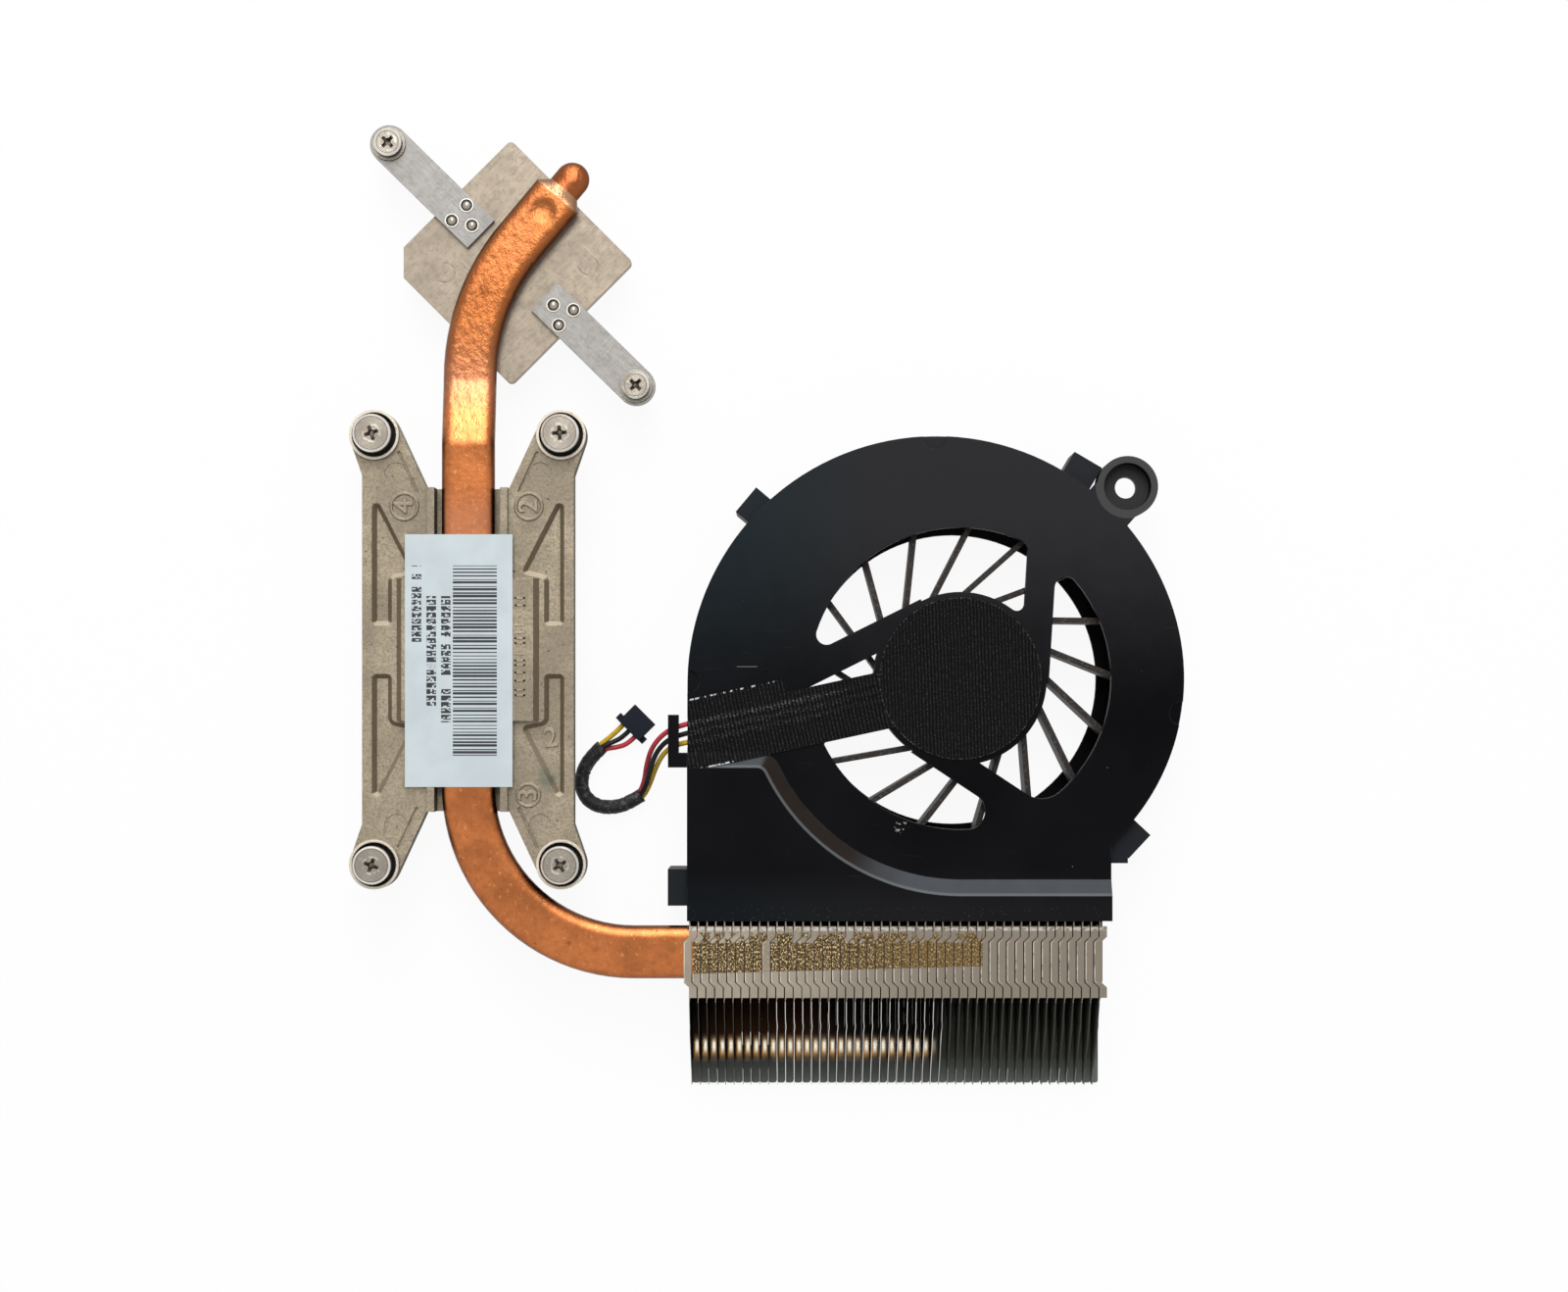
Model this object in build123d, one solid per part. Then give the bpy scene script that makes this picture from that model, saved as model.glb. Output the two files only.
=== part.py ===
from build123d import *
import os
from math import acos, asin, atan2, ceil, cos, degrees, hypot, radians, sin, sqrt, tan

os.makedirs("parts", exist_ok=True)

# Laptop cooling module: a blower fan, a fin stack, a flat heat pipe, a processor plate on
# four sprung screws and a graphics plate on two leaf arms. Millimetres.
# The origin is the centre of the processor contact face, and +Z points away from the processor.

# Driving dimensions: levels
REST_Z = -6.5             # underside of the fan, and the plane that the module rests on
PIPE_W = 7.7              # flattened heat pipe, width
PIPE_T = 3.0              # flattened heat pipe, thickness
SOLDER_GAP = 0.02         # room for the solder film between soldered pieces
OVERRUN = 1.0             # cutting tools run past the piece by this much

# Processor contact plate and bracket
CONTACT_SIZE = 20.0
CONTACT_T = 1.5
BRACKET_BASE_Z = 1.0      # underside of the cast bracket
BRACKET_LAND_Z = 3.6      # top of its flat lands
BRACKET_POCKET_Z = 2.8    # floor of its four pockets
BRACKET_SIDE_OVER = 1.8   # sides outside the screw rows
BRACKET_END_GAP = 7.6     # straight ends inside the screw rows
BRACKET_FLARE_GAP = 5.8   # the sides flare into the ears this far inside the screw rows
BRACKET_EAR_X = 6.0       # where the ears leave the ends
BRACKET_RIM = 1.4         # rim outside the pockets
CHANNEL_HALF_W = 4.75     # pipe channel
CHANNEL_WALL = 1.05
PAD_HALF_X = 9.5          # raised pads each side of the pipe
PAD_HALF_Y = 10.3
PAD_DRAFT = 1.5           # slope of their outer sides
POCKET_LOW_Y = 3.5        # inner end of each pocket
POCKET_KNEE = (7.6, 11.0)  # corner of the pocket beside the pad
POCKET_DRAFT = 0.65       # slope of the pocket sides
POCKET_R = 0.7            # rounding of their corners
EAR_LINE = 1.25           # line scribed along the inner edge of each ear
EAR_LINE_W = 0.45
EAR_LINE_DEPTH = 0.4
EJECTOR_R = 1.65          # round ejector mark on each ear
EJECTOR_X = 10.4
EJECTOR_GAP = 5.6         # inside the screw rows
EJECTOR_DEPTH = 0.15

# Sprung processor screws
SCREW_DX = 27.0
SCREW_DY = 62.0
CUP_WALL = 0.4
CUP_RIM_Z = 4.2
CUP_FLOOR_Z = 1.6
SCREW_R = 1.25
SCREW_HEAD_R = 2.75
SCREW_HEAD_T = 1.6
SCREW_HEAD_TOP_Z = 6.5
SCREW_CLEAR = 0.1         # round the shank in its hole
HEAD_CLEAR = 0.45         # round the head in its cup
HEAD_CHAMFER = 0.3
CLIP_T = 0.5              # retaining ring under the bracket
CLIP_STEP = 0.3           # depth of its groove in the shank
CLIP_RING = 0.85          # width of the ring
CLIP_PLAY = 0.05
RECESS_LEN = 2.2          # cross recess, with sloping floors
RECESS_W = 0.5
RECESS_CORE_R = 0.5
RECESS_FOOT_R = 0.35
RECESS_DEPTH = 0.8
SCREW_TURNS = (18.0, 4.0, 33.0, -20.0)  # how far each screw happens to be turned
SPRING_R = 2.05           # mean radius of the coil
SPRING_WIRE = 0.45
SPRING_TURNS = 2.5
SPRING_PLAY = 0.05

# Heat pipe route
PIPE_END_X = 74.0         # sealed end among the fins
PIPE_PAST_SCREWS = 12.7   # screw row to the centre line through the fins
PIPE_BEND_R = 24.0        # corner between the fins and the bracket
STEP_START_Y = 30.0       # slope down towards the graphics plate
STEP_END_Y = 38.8
STEP_DROP = 1.8
STEP_R = 4.0
HOOK_START_Y = 39.5       # sideways bend over the graphics plate
HOOK_R = 31.0
HOOK_TURN = 40.0
HOOK_RUN = 8.5
NECK_LEN = 1.4            # neck and rounded tip
TIP_W = 5.0
TIP_T = 2.5
TIP_LEN = 4.4
DENT_RUN = 5.6            # shallow dent before the tip, from the start of its straight
DENT_R = 2.0
DENT_DEPTH = 0.3

# Graphics plate
PLATE_SIDE = 25.3
PLATE_T = 1.5
PLATE_AT = (5.75, 56.65)
PLATE_CORNER = 0.8
PLATE_SNIP_X = -9.9       # cut-off left corner
ARM_T = 0.8
ARM_W = 5.6
ARM_INNER = 6.5           # from the middle to the inner end of an arm
ARM_SPAN = 50.4           # between the two screws
ARM_TURN = 135.6          # direction of the upper arm
ARM_MID = (6.1, 56.1)
RIVET_R = 1.0
RIVET_SHANK_R = 0.7
RIVET_RIM_T = 0.15         # thin rim, a groove and a dome
RIVET_DOME_R = 0.72
RIVET_DOME_H = 0.4
RIVET_PAIR_GAP = 4.4      # inner end of the arm to the pair of rivets
RIVET_LONE_GAP = 1.8      # and to the single one
RIVET_SPREAD = 1.55
ARM_SCREW_R = 1.0
ARM_HEAD_R = 2.0
ARM_HEAD_T = 1.3
ARM_COLLAR_R = 2.4
ARM_COLLAR_T = 0.4
ARM_LIFT = 1.0            # free lift of the captive screw
ARM_TIP_Z = -6.0
ARM_RECESS_LEN = 2.1

# Label
LABEL_W = 15.5
LABEL_L = 36.4
LABEL_T = 0.1
LABEL_AT = (-1.2, -1.6)

# Fan housing, about the fan axis
FAN_WALL_X = 31.723       # left wall of the fan
SCROLL_R = 32.3           # tight side of the scroll
SCROLL_GROW = 3.6         # shift of the wide arc
SCROLL_TURN = 195.0       # direction of that shift
DUCT_RIGHT = 21.8
DUCT_END = -34.9
FAN_WALL = 1.2
FAN_SKIN = 1.3            # thickness of the plate
FAN_TOP_Z = 4.2
DUCT_RISE = 1.3           # the duct stands this much higher
RAMP_R = 29.0             # foot of the ramp between the two levels
RAMP_W = 2.3
RAMP_LEFT_Y = -10.55
RAMP_CORNER = 3.6         # rounding where the straight ramp meets the round one
COVER_T = 0.8
COVER_INLET_R = 21.4
COVER_INLET_OFF = 0.6     # its inlet lies this far to the left of the axis
COVER_LIP = 10.0          # lip under the fins
COVER_LIP_T = 0.4
INLET_R = 21.8
HUB_R = 12.5
SPOKE_IN = 8.6            # the three tangent spokes lie between these offsets
SPOKE_OUT = 12.8
SPOKE_TURN = 86.5
SPOKES = 3
WINDOW_TURNS = (          # direction of each window corner at the rim, and its rounding
    (63.3, 1.2),
    (170.5, 1.5),
    (50.5, 1.7),
    (303.3, 4.0),
    (290.5, 2.6),
    (205.2, 0.3),
)
HUB_CORNER_TURN = (43.0, 1.1)  # and of the one beside the hub
LEAD_TURN = 192.2         # the spoke that carries the leads
LEAD_UPPER = 3.4
LEAD_LOWER = -4.9
LEAD_START = 9.6          # where the leads are soldered to the board
LEAD_FLOOR = 0.8
GROOVE_SIDE = 0.4
EAR_TURN = 48.92          # direction of the mounting ear
EAR_OUT = 4.45            # its centre outside the tight arc
EAR_R = 4.4
EAR_SINK_R = 3.4
EAR_HOLE_R = 1.55
EAR_BASE_Z = 0.5
EAR_FLOOR_T = 1.5
EAR_WEB = 7.4
LUG_TURNS = ((140.0, 4.5), (59.5, 4.5), (-43.0, 3.4))  # direction, height over the tight arc
LUG_W = 4.6
LUG_LEFT_Y = -30.25
LUG_LEFT_W = 5.3
LUG_OUT = 2.9
LUG_FOOT = (2.9, 2.6)     # web beside the lower lug, along and across the wall
LUG_TOP_Z = 2.6
NOTCH_TURNS = (96.0, -9.0)
NOTCH_LEFT_Y = -0.4       # and one at the left wall
NOTCH_R = 1.7
NOTCH_DEPTH = 0.4
CLIP_BAR_OFF = 1.22       # cable hook, clear of the left wall
CLIP_BAR_W = 1.54
CLIP_BAR_OVER = 2.61      # from the middle wire to its free end
CLIP_FOOT_UNDER = 4.99    # and to its foot
CLIP_FOOT_W = 2.1
CLIP_BAR_T = 1.15
CLIP_BAR_GAP = 0.1        # over the wires
CLIP_FOOT_Z = 1.5

# Motor and impeller
BLADES = 17
BLADE_T = 0.8
BLADE_OFFSET = 8.7        # the blades lie along tangents to this circle
BLADE_TIP_R = 25.0
BLADE_FIRST = 22.8
BLADE_TOP_Z = 1.7
FLOOR_CLEAR = 0.7         # impeller over the cover
CUP_R = 12.4
CUP_T = 1.1
CUP_FLOOR_T = 1.0
YOKE_T = 0.5
MAGNET_T = 1.4
MAGNET_H = 3.6
AIR_GAP = 0.35
FIT = 0.03
SHAFT_R = 0.75
BUSH_R = 2.2
HOLDER_T = 0.5
HOLDER_LEN = 5.1
BOSS_R = 2.0
STATOR_POLES = 4
STATOR_T = 2.0
STATOR_TOP_Z = 0.7
STATOR_HUB = 1.6
TOOTH_W = 2.0
SHOE_T = 1.0
SHOE_SLOT = 1.4
COIL_T = 0.8
BOARD_T = 0.8
BOARD_R = 10.4
THRUST_T = 0.85
END_PLAY = 0.05

# Fin stack
FINS = 48
FIN_EDGE = 0.26           # first fin inside the left wall
FIN_EDGE_RIGHT = 0.53     # last flange inside the right wall
FIN_T = 0.2
FIN_GAP = 0.1             # between the duct mouth and the fins
FIN_DEPTH = 24.8
PIPE_IN_FIN = 4.53        # front edge of the fins to the middle of the pipe
FLANGE_START = 0.7        # top flange, from the front edge
FLANGE_LEN = 10.3
FLANGE_GAP = 0.17
FLANGE_WAIST = 0.75       # the middle of the flange lies over to the left by this much
FLANGE_END = 1.5          # straight ends
FLANGE_SLANT = 0.7
FIN_SLOPE_DROP = 2.5
FIN_SLOPE_RUN = 5.3
FIN_TOE_H = 2.2
FIN_TOE_LEN = 1.0
SLOT_CHAMFER = 0.9

# Tapes
TAPE_T = 0.2
TAPE_DISC_R = 11.7
PATCH_RUN = 14.6          # wide patch at the wall
PATCH_OVER = 1.95

# Lead
WIRE_D = 0.75
WIRE_PITCH = 1.34
WIRE_MID = 0.66           # middle wire, across the lead spoke
SLEEVE_BORE_R = 0.95
SLEEVE_WALL = 0.1
PLUG_TURN = 45.0
PLUG_W = 4.2
PLUG_LEN = 3.4
PLUG_H = 2.0
PLUG_EAR_W = 5.5
PLUG_EAR_LEN = 1.0
PLUG_PITCH = 1.25
PLUG_SLOT = 0.62
CONTACT_D = 0.5
# Middle of the lead, from where it leaves the wall: place, half spread and lift of the middle wire.
ROUTE = (
    (2.88, 0.62, 3.31, 1.34, 0.00),
    (-0.42, -0.09, 3.29, 1.32, 0.00),
    (-2.72, -0.89, 2.70, 1.15, 0.10),
    (-4.52, -2.59, 1.00, 0.95, 0.30),
    (-5.62, -4.99, -1.90, 0.70, 0.55),
    (-6.27, -7.29, -4.30, 0.46, 0.70),
    (-7.22, -9.29, -5.30, 0.40, 0.70),
    (-9.12, -10.49, -5.38, 0.40, 0.70),
    (-11.42, -11.14, -5.40, 0.40, 0.70),
    (-13.72, -10.94, -5.40, 0.40, 0.70),
    (-15.42, -9.79, -5.40, 0.40, 0.70),
    (-16.22, -7.89, -5.40, 0.40, 0.70),
    (-15.87, -5.59, -5.40, 0.40, 0.70),
    (-14.62, -3.59, -5.40, 0.40, 0.70),
    (-13.02, -2.09, -5.40, 0.42, 0.70),
    (-11.22, -1.34, -5.45, 0.95, 0.35),
    (-10.02, -0.71, -5.50, 1.25, 0.00),
    (-9.08, 0.23, -5.50, 1.25, 0.00),
)
SLEEVE_FROM = 6           # route points that the sleeve covers
SLEEVE_TO = 14

# Derived levels
PIPE_BASE_Z = CONTACT_T
PIPE_MID_Z = PIPE_BASE_Z + PIPE_T / 2
PIPE_TOP_Z = PIPE_BASE_Z + PIPE_T
LOW_MID_Z = PIPE_MID_Z - STEP_DROP
PLATE_TOP_Z = LOW_MID_Z - PIPE_T / 2
ARM_TOP_Z = PLATE_TOP_Z + ARM_T
COVER_TOP_Z = REST_Z + COVER_T
FAN_CEILING_Z = FAN_TOP_Z - FAN_SKIN
DUCT_TOP_Z = FAN_TOP_Z + DUCT_RISE
CUP_BORE_R = SCREW_HEAD_R + HEAD_CLEAR
CUP_OUTER_R = CUP_BORE_R + CUP_WALL
WIRE_Z = FAN_CEILING_Z + WIRE_D / 2 + FIT
BIG_R = SCROLL_R + SCROLL_GROW
BIG_X = SCROLL_GROW * cos(radians(SCROLL_TURN))
BIG_Y = SCROLL_GROW * sin(radians(SCROLL_TURN))
WALL_LEFT = BIG_X - BIG_R
FIN_FIRST_X = FAN_WALL_X + FIN_EDGE
FIN_PITCH = (DUCT_RIGHT - WALL_LEFT - FIN_EDGE - FIN_EDGE_RIGHT) / FINS
BRACKET_HALF_W = SCREW_DX / 2 + BRACKET_SIDE_OVER
BRACKET_HALF_L = SCREW_DY / 2 - BRACKET_END_GAP
BRACKET_FLARE_Y = SCREW_DY / 2 - BRACKET_FLARE_GAP
PIPE_FIN_Y = -SCREW_DY / 2 - PIPE_PAST_SCREWS
FIN_FRONT_Y = PIPE_FIN_Y + PIPE_IN_FIN
FAN_AT = (FAN_WALL_X - WALL_LEFT, FIN_FRONT_Y + FIN_GAP - DUCT_END)
FAN = Pos(FAN_AT[0], FAN_AT[1], 0)
ARM_REACH = ARM_SPAN / 2 - ARM_INNER
EAR_AT = ((SCROLL_R + EAR_OUT) * cos(radians(EAR_TURN)), (SCROLL_R + EAR_OUT) * sin(radians(EAR_TURN)))
# The leads cross the left wall here, about the fan axis.
LEAD_EXIT_Y = WALL_LEFT * tan(radians(LEAD_TURN)) - WIRE_MID / cos(radians(LEAD_TURN))
UP = (0, 0, 1)


def save(name, shape):
    """Write one piece to its own file."""
    export_step(shape, f"parts/{name}.step")


def disc(x, y, radius, low, high):
    """Upright cylinder between two levels."""
    stand = (Align.CENTER, Align.CENTER, Align.MIN)
    return Pos(x, y, low) * Cylinder(radius, high - low, align=stand)


def ring(inner, outer, low, high):
    """Upright tube about the Z axis."""
    return disc(0, 0, outer, low, high) - disc(0, 0, inner, low, high)


def block(left, right, front, back, low, high):
    """Box between six planes."""
    middle = Pos((left + right) / 2, (front + back) / 2, (low + high) / 2)
    return middle * Box(right - left, back - front, high - low)


def prism(outline, low, high):
    """Upright prism on a sketch or a list of corners."""
    if isinstance(outline, (list, tuple)):
        outline = Polygon(*outline, align=None)
    return extrude(Pos(0, 0, low) * outline, high - low, dir=UP)


def touch(point, centre, radius, side):
    """Where the line from a point touches a circle, on its left (1) or right (-1)."""
    across = centre[0] - point[0]
    along = centre[1] - point[1]
    reach = hypot(across, along)
    heading = atan2(along, across) + side * asin(radius / reach)
    run = sqrt(reach ** 2 - radius ** 2)
    return (point[0] + run * cos(heading), point[1] + run * sin(heading))


def strip(turn, near, far, start, end):
    """Flat strip along a direction, between two offsets to its right."""
    middle = Pos((start + end) / 2, -(near + far) / 2)
    return Rot(0, 0, turn) * middle * Rectangle(end - start, far - near)


def cross_recess(length, top):
    """Tool for the cross recess in a screw head."""
    low = top - RECESS_DEPTH
    bar = block(-length / 2, length / 2, -RECESS_W / 2, RECESS_W / 2, low, top)
    stand = (Align.CENTER, Align.CENTER, Align.MIN)
    bit = Pos(0, 0, low) * Cone(RECESS_FOOT_R, length / 2, RECESS_DEPTH, align=stand)
    return (bar + Rot(0, 0, 90) * bar + disc(0, 0, RECESS_CORE_R, low, top)) & bit


def retaining_ring(groove_r, low):
    """Open ring that snaps into the groove of a captive screw."""
    ring_r = groove_r + CLIP_RING
    body = ring(groove_r + FIT, ring_r, low, low + CLIP_T)
    return body - block(0, 2 * ring_r, -groove_r / 2, groove_r / 2, low, low + CLIP_T)


def contact_plate():
    """Copper slug on the processor."""
    half = CONTACT_SIZE / 2
    return block(-half, half, -half, half, 0, CONTACT_T)


def bracket():
    """Cast bracket: one quarter is made and mirrored twice."""
    cup = (SCREW_DX / 2, SCREW_DY / 2)
    inner = (BRACKET_EAR_X, BRACKET_HALF_L)
    outer = (BRACKET_HALF_W, BRACKET_FLARE_Y)
    ear_end = touch(inner, cup, CUP_OUTER_R, 1)
    corners = [(0, 0), (BRACKET_HALF_W, 0), outer, touch(outer, cup, CUP_OUTER_R, -1)]
    corners += [cup, ear_end, inner, (0, BRACKET_HALF_L)]
    quarter = prism(corners, BRACKET_BASE_Z, BRACKET_LAND_Z)
    quarter += disc(cup[0], cup[1], CUP_OUTER_R, BRACKET_BASE_Z, CUP_RIM_Z)
    rim_x = BRACKET_HALF_W - BRACKET_RIM
    pocket_x = PAD_HALF_X + PAD_DRAFT
    knee_x, knee_y = POCKET_KNEE
    pocket = [(rim_x, POCKET_LOW_Y), (rim_x, BRACKET_HALF_L), (knee_x, knee_y), (pocket_x, PAD_HALF_Y)]
    pocket += [(pocket_x, POCKET_LOW_Y)]
    rim = fillet(Polygon(*pocket, align=None).vertices(), POCKET_R)
    floor = offset(rim, -POCKET_DRAFT, kind=Kind.INTERSECTION)
    quarter -= loft([Pos(0, 0, BRACKET_POCKET_Z) * floor, Pos(0, 0, BRACKET_LAND_Z) * rim])
    pad = [(0, BRACKET_POCKET_Z), (pocket_x, BRACKET_POCKET_Z), (PAD_HALF_X, PIPE_TOP_Z), (0, PIPE_TOP_Z)]
    quarter += extrude(Plane.XZ * Polygon(*pad, align=None), PAD_HALF_Y, dir=(0, 1, 0))
    wall = CHANNEL_HALF_W + CHANNEL_WALL
    quarter += block(0, wall, 0, BRACKET_HALF_L, BRACKET_BASE_Z, PIPE_TOP_Z)
    quarter -= block(0, CHANNEL_HALF_W, 0, SCREW_DY, PIPE_BASE_Z, PIPE_TOP_Z + OVERRUN)
    seat = CONTACT_SIZE / 2 + FIT
    quarter -= block(0, seat, 0, seat, 0, CONTACT_T)
    quarter -= disc(cup[0], cup[1], CUP_BORE_R, CUP_FLOOR_Z, CUP_RIM_Z)
    quarter -= disc(cup[0], cup[1], SCREW_R + SCREW_CLEAR, BRACKET_BASE_Z, CUP_FLOOR_Z)
    line_low = BRACKET_LAND_Z - EAR_LINE_DEPTH
    slant = atan2(ear_end[1] - inner[1], ear_end[0] - inner[0])
    side = Pos(inner[0], inner[1]) * Rot(0, 0, degrees(slant))
    line_end = hypot(ear_end[0] - inner[0], ear_end[1] - inner[1]) - CUP_OUTER_R
    line = side * Pos(line_end / 2, -EAR_LINE - EAR_LINE_W / 2) * Rectangle(line_end, EAR_LINE_W)
    quarter -= prism(line, line_low, PIPE_TOP_Z)
    mark_low = BRACKET_LAND_Z - EJECTOR_DEPTH
    quarter -= disc(EJECTOR_X, SCREW_DY / 2 - EJECTOR_GAP, EJECTOR_R, mark_low, BRACKET_LAND_Z)
    half = quarter + mirror(quarter, about=Plane.YZ)
    return half + mirror(half, about=Plane.XZ)


def sprung_screw():
    """Processor screw on its own axis, with a groove for the ring."""
    head_low = SCREW_HEAD_TOP_Z - SCREW_HEAD_T
    head = disc(0, 0, SCREW_HEAD_R, head_low, SCREW_HEAD_TOP_Z)
    head = chamfer(head.edges().group_by(Axis.Z)[-1], HEAD_CHAMFER)
    screw = head + disc(0, 0, SCREW_R, REST_Z, head_low)
    groove_top = BRACKET_BASE_Z - CLIP_PLAY
    screw -= ring(SCREW_R - CLIP_STEP, SCREW_R + OVERRUN, groove_top - CLIP_T, groove_top)
    screw = chamfer(screw.edges().group_by(Axis.Z)[0], HEAD_CHAMFER)
    return screw - cross_recess(RECESS_LEN, SCREW_HEAD_TOP_Z)


def screw_spring():
    """Coil spring between the cup floor and the screw head."""
    low = CUP_FLOOR_Z + SPRING_PLAY + SPRING_WIRE / 2
    high = SCREW_HEAD_TOP_Z - SCREW_HEAD_T - SPRING_PLAY - SPRING_WIRE / 2
    coil = Helix((high - low) / SPRING_TURNS, high - low, SPRING_R)
    start = Plane(Pos(0, 0, 0) * coil @ 0, x_dir=(1, 0, 0), z_dir=coil % 0)
    wire = sweep(start * Rectangle(SPRING_WIRE, SPRING_WIRE), path=coil, is_frenet=True)
    return Pos(0, 0, low) * wire


def heat_pipe():
    """Flattened pipe: fins, corner, bracket, slope, hook and pinched tip."""
    corner = (PIPE_BEND_R, PIPE_FIN_Y, PIPE_MID_Z)
    rise = (0, PIPE_FIN_Y + PIPE_BEND_R, PIPE_MID_Z)
    fin_run = Line((PIPE_END_X, PIPE_FIN_Y, PIPE_MID_Z), corner)
    bend = TangentArc(corner, rise, tangent=(-1, 0, 0))
    step = [rise, (0, STEP_START_Y, PIPE_MID_Z), (0, STEP_END_Y, LOW_MID_Z), (0, HOOK_START_Y, LOW_MID_Z)]
    slope = FilletPolyline(*step, radius=STEP_R)
    turn = radians(HOOK_TURN)
    hook_end = Vector(HOOK_R * (1 - cos(turn)), HOOK_START_Y + HOOK_R * sin(turn), LOW_MID_Z)
    hook = TangentArc(step[-1], hook_end, tangent=(0, 1, 0))
    ahead = Vector(sin(turn), cos(turn), 0)
    tail = Line(hook_end, hook_end + ahead * HOOK_RUN)
    path = Wire([fin_run, bend, *slope.edges(), hook, tail])
    section = Plane(fin_run @ 0, x_dir=(0, 1, 0), z_dir=(-1, 0, 0)) * SlotOverall(PIPE_W, PIPE_T)
    pipe = sweep(section, path=path)
    sideways = (cos(turn), -sin(turn), 0)
    wide = Plane(tail @ 1, x_dir=sideways, z_dir=ahead) * SlotOverall(PIPE_W, PIPE_T)
    drop = Vector(0, 0, (PIPE_T - TIP_T) / 2)
    neck_end = Plane((tail @ 1) + ahead * NECK_LEN - drop, x_dir=sideways, z_dir=ahead)
    narrow = neck_end * Ellipse(TIP_W / 2, TIP_T / 2)
    pipe += loft([wide, narrow])
    straight = TIP_LEN - TIP_W / 2
    pipe += extrude(narrow, straight, dir=ahead)
    dome = scale(Sphere(TIP_W / 2), by=(1, TIP_T / TIP_W, 1))
    pipe += neck_end.offset(straight) * dome
    ball = (DENT_R ** 2 + DENT_DEPTH ** 2) / (2 * DENT_DEPTH)
    above = Vector(0, 0, PIPE_T / 2 - DENT_DEPTH + ball)
    return pipe - Pos(hook_end + ahead * DENT_RUN + above) * Sphere(ball)


def arm_place(side):
    """Frame at the screw of one leaf arm, X running towards the plate."""
    turn = radians(ARM_TURN + (0 if side > 0 else 180))
    reach = ARM_SPAN / 2
    return Pos(ARM_MID[0] + reach * cos(turn), ARM_MID[1] + reach * sin(turn), 0) * Rot(
        0, 0, degrees(turn) + 180
    )


def rivet_spots():
    """Rivet centres along and across one arm."""
    pair = ARM_REACH - RIVET_PAIR_GAP
    return [(pair, RIVET_SPREAD), (pair, -RIVET_SPREAD), (ARM_REACH - RIVET_LONE_GAP, 0)]


def rivet_holes(side, low, high):
    """Holes for the rivets of one arm."""
    return [arm_place(side) * disc(x, y, RIVET_SHANK_R + FIT, low, high) for x, y in rivet_spots()]


def graphics_plate():
    """Square plate turned on its corner, with one corner cut off."""
    outline = Pos(*PLATE_AT) * Rot(0, 0, 45) * RectangleRounded(PLATE_SIDE, PLATE_SIDE, PLATE_CORNER)
    plate = prism(outline, PLATE_TOP_Z - PLATE_T, PLATE_TOP_Z)
    plate -= block(-ARM_SPAN, PLATE_SNIP_X, 0, 2 * ARM_SPAN, REST_Z, PLATE_TOP_Z)
    for side in (1, -1):
        plate -= rivet_holes(side, PLATE_TOP_Z - PLATE_T, PLATE_TOP_Z)
    return plate


def leaf_arm(side):
    """Leaf arm with a round outer end, a screw hole and three rivet holes."""
    outline = Pos(ARM_REACH / 2, 0) * Rectangle(ARM_REACH, ARM_W) + Circle(ARM_W / 2)
    outline -= Circle(ARM_SCREW_R + SCREW_CLEAR)
    arm = arm_place(side) * prism(outline, PLATE_TOP_Z, ARM_TOP_Z)
    return arm - rivet_holes(side, PLATE_TOP_Z, ARM_TOP_Z)


def rivets():
    """Six rivets through the arms and the plate."""
    shank = disc(0, 0, RIVET_SHANK_R, PLATE_TOP_Z - PLATE_T, ARM_TOP_Z)
    rim_top = ARM_TOP_Z + RIVET_RIM_T
    ball = (RIVET_DOME_R ** 2 + RIVET_DOME_H ** 2) / (2 * RIVET_DOME_H)
    dome = Pos(0, 0, ARM_TOP_Z + RIVET_DOME_H - ball) * Sphere(ball)
    dome = dome & disc(0, 0, RIVET_DOME_R, ARM_TOP_Z, ARM_TOP_Z + RIVET_DOME_H)
    edge = (RIVET_R - RIVET_DOME_R) / 2
    rivet = shank + disc(0, 0, RIVET_R, ARM_TOP_Z, rim_top)
    rivet -= ring(RIVET_DOME_R - edge, RIVET_R - edge, ARM_TOP_Z + RIVET_RIM_T / 3, rim_top)
    rivet += dome
    return [arm_place(side) * Pos(x, y, 0) * rivet for side in (1, -1) for x, y in rivet_spots()]


def arm_screw():
    """Captive screw of a leaf arm, on its own axis."""
    head_low = ARM_TOP_Z + ARM_COLLAR_T
    head_top = head_low + ARM_HEAD_T
    screw = disc(0, 0, ARM_COLLAR_R, ARM_TOP_Z, head_low)
    head = disc(0, 0, ARM_HEAD_R, head_low, head_top)
    screw += chamfer(head.edges().group_by(Axis.Z)[-1], HEAD_CHAMFER)
    screw += disc(0, 0, ARM_SCREW_R, ARM_TIP_Z, ARM_TOP_Z)
    groove_top = PLATE_TOP_Z - ARM_LIFT - CLIP_PLAY
    screw -= ring(ARM_SCREW_R - CLIP_STEP, ARM_SCREW_R + OVERRUN, groove_top - CLIP_T, groove_top)
    screw = chamfer(screw.edges().group_by(Axis.Z)[0], HEAD_CHAMFER)
    return screw - cross_recess(ARM_RECESS_LEN, head_top)


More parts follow.
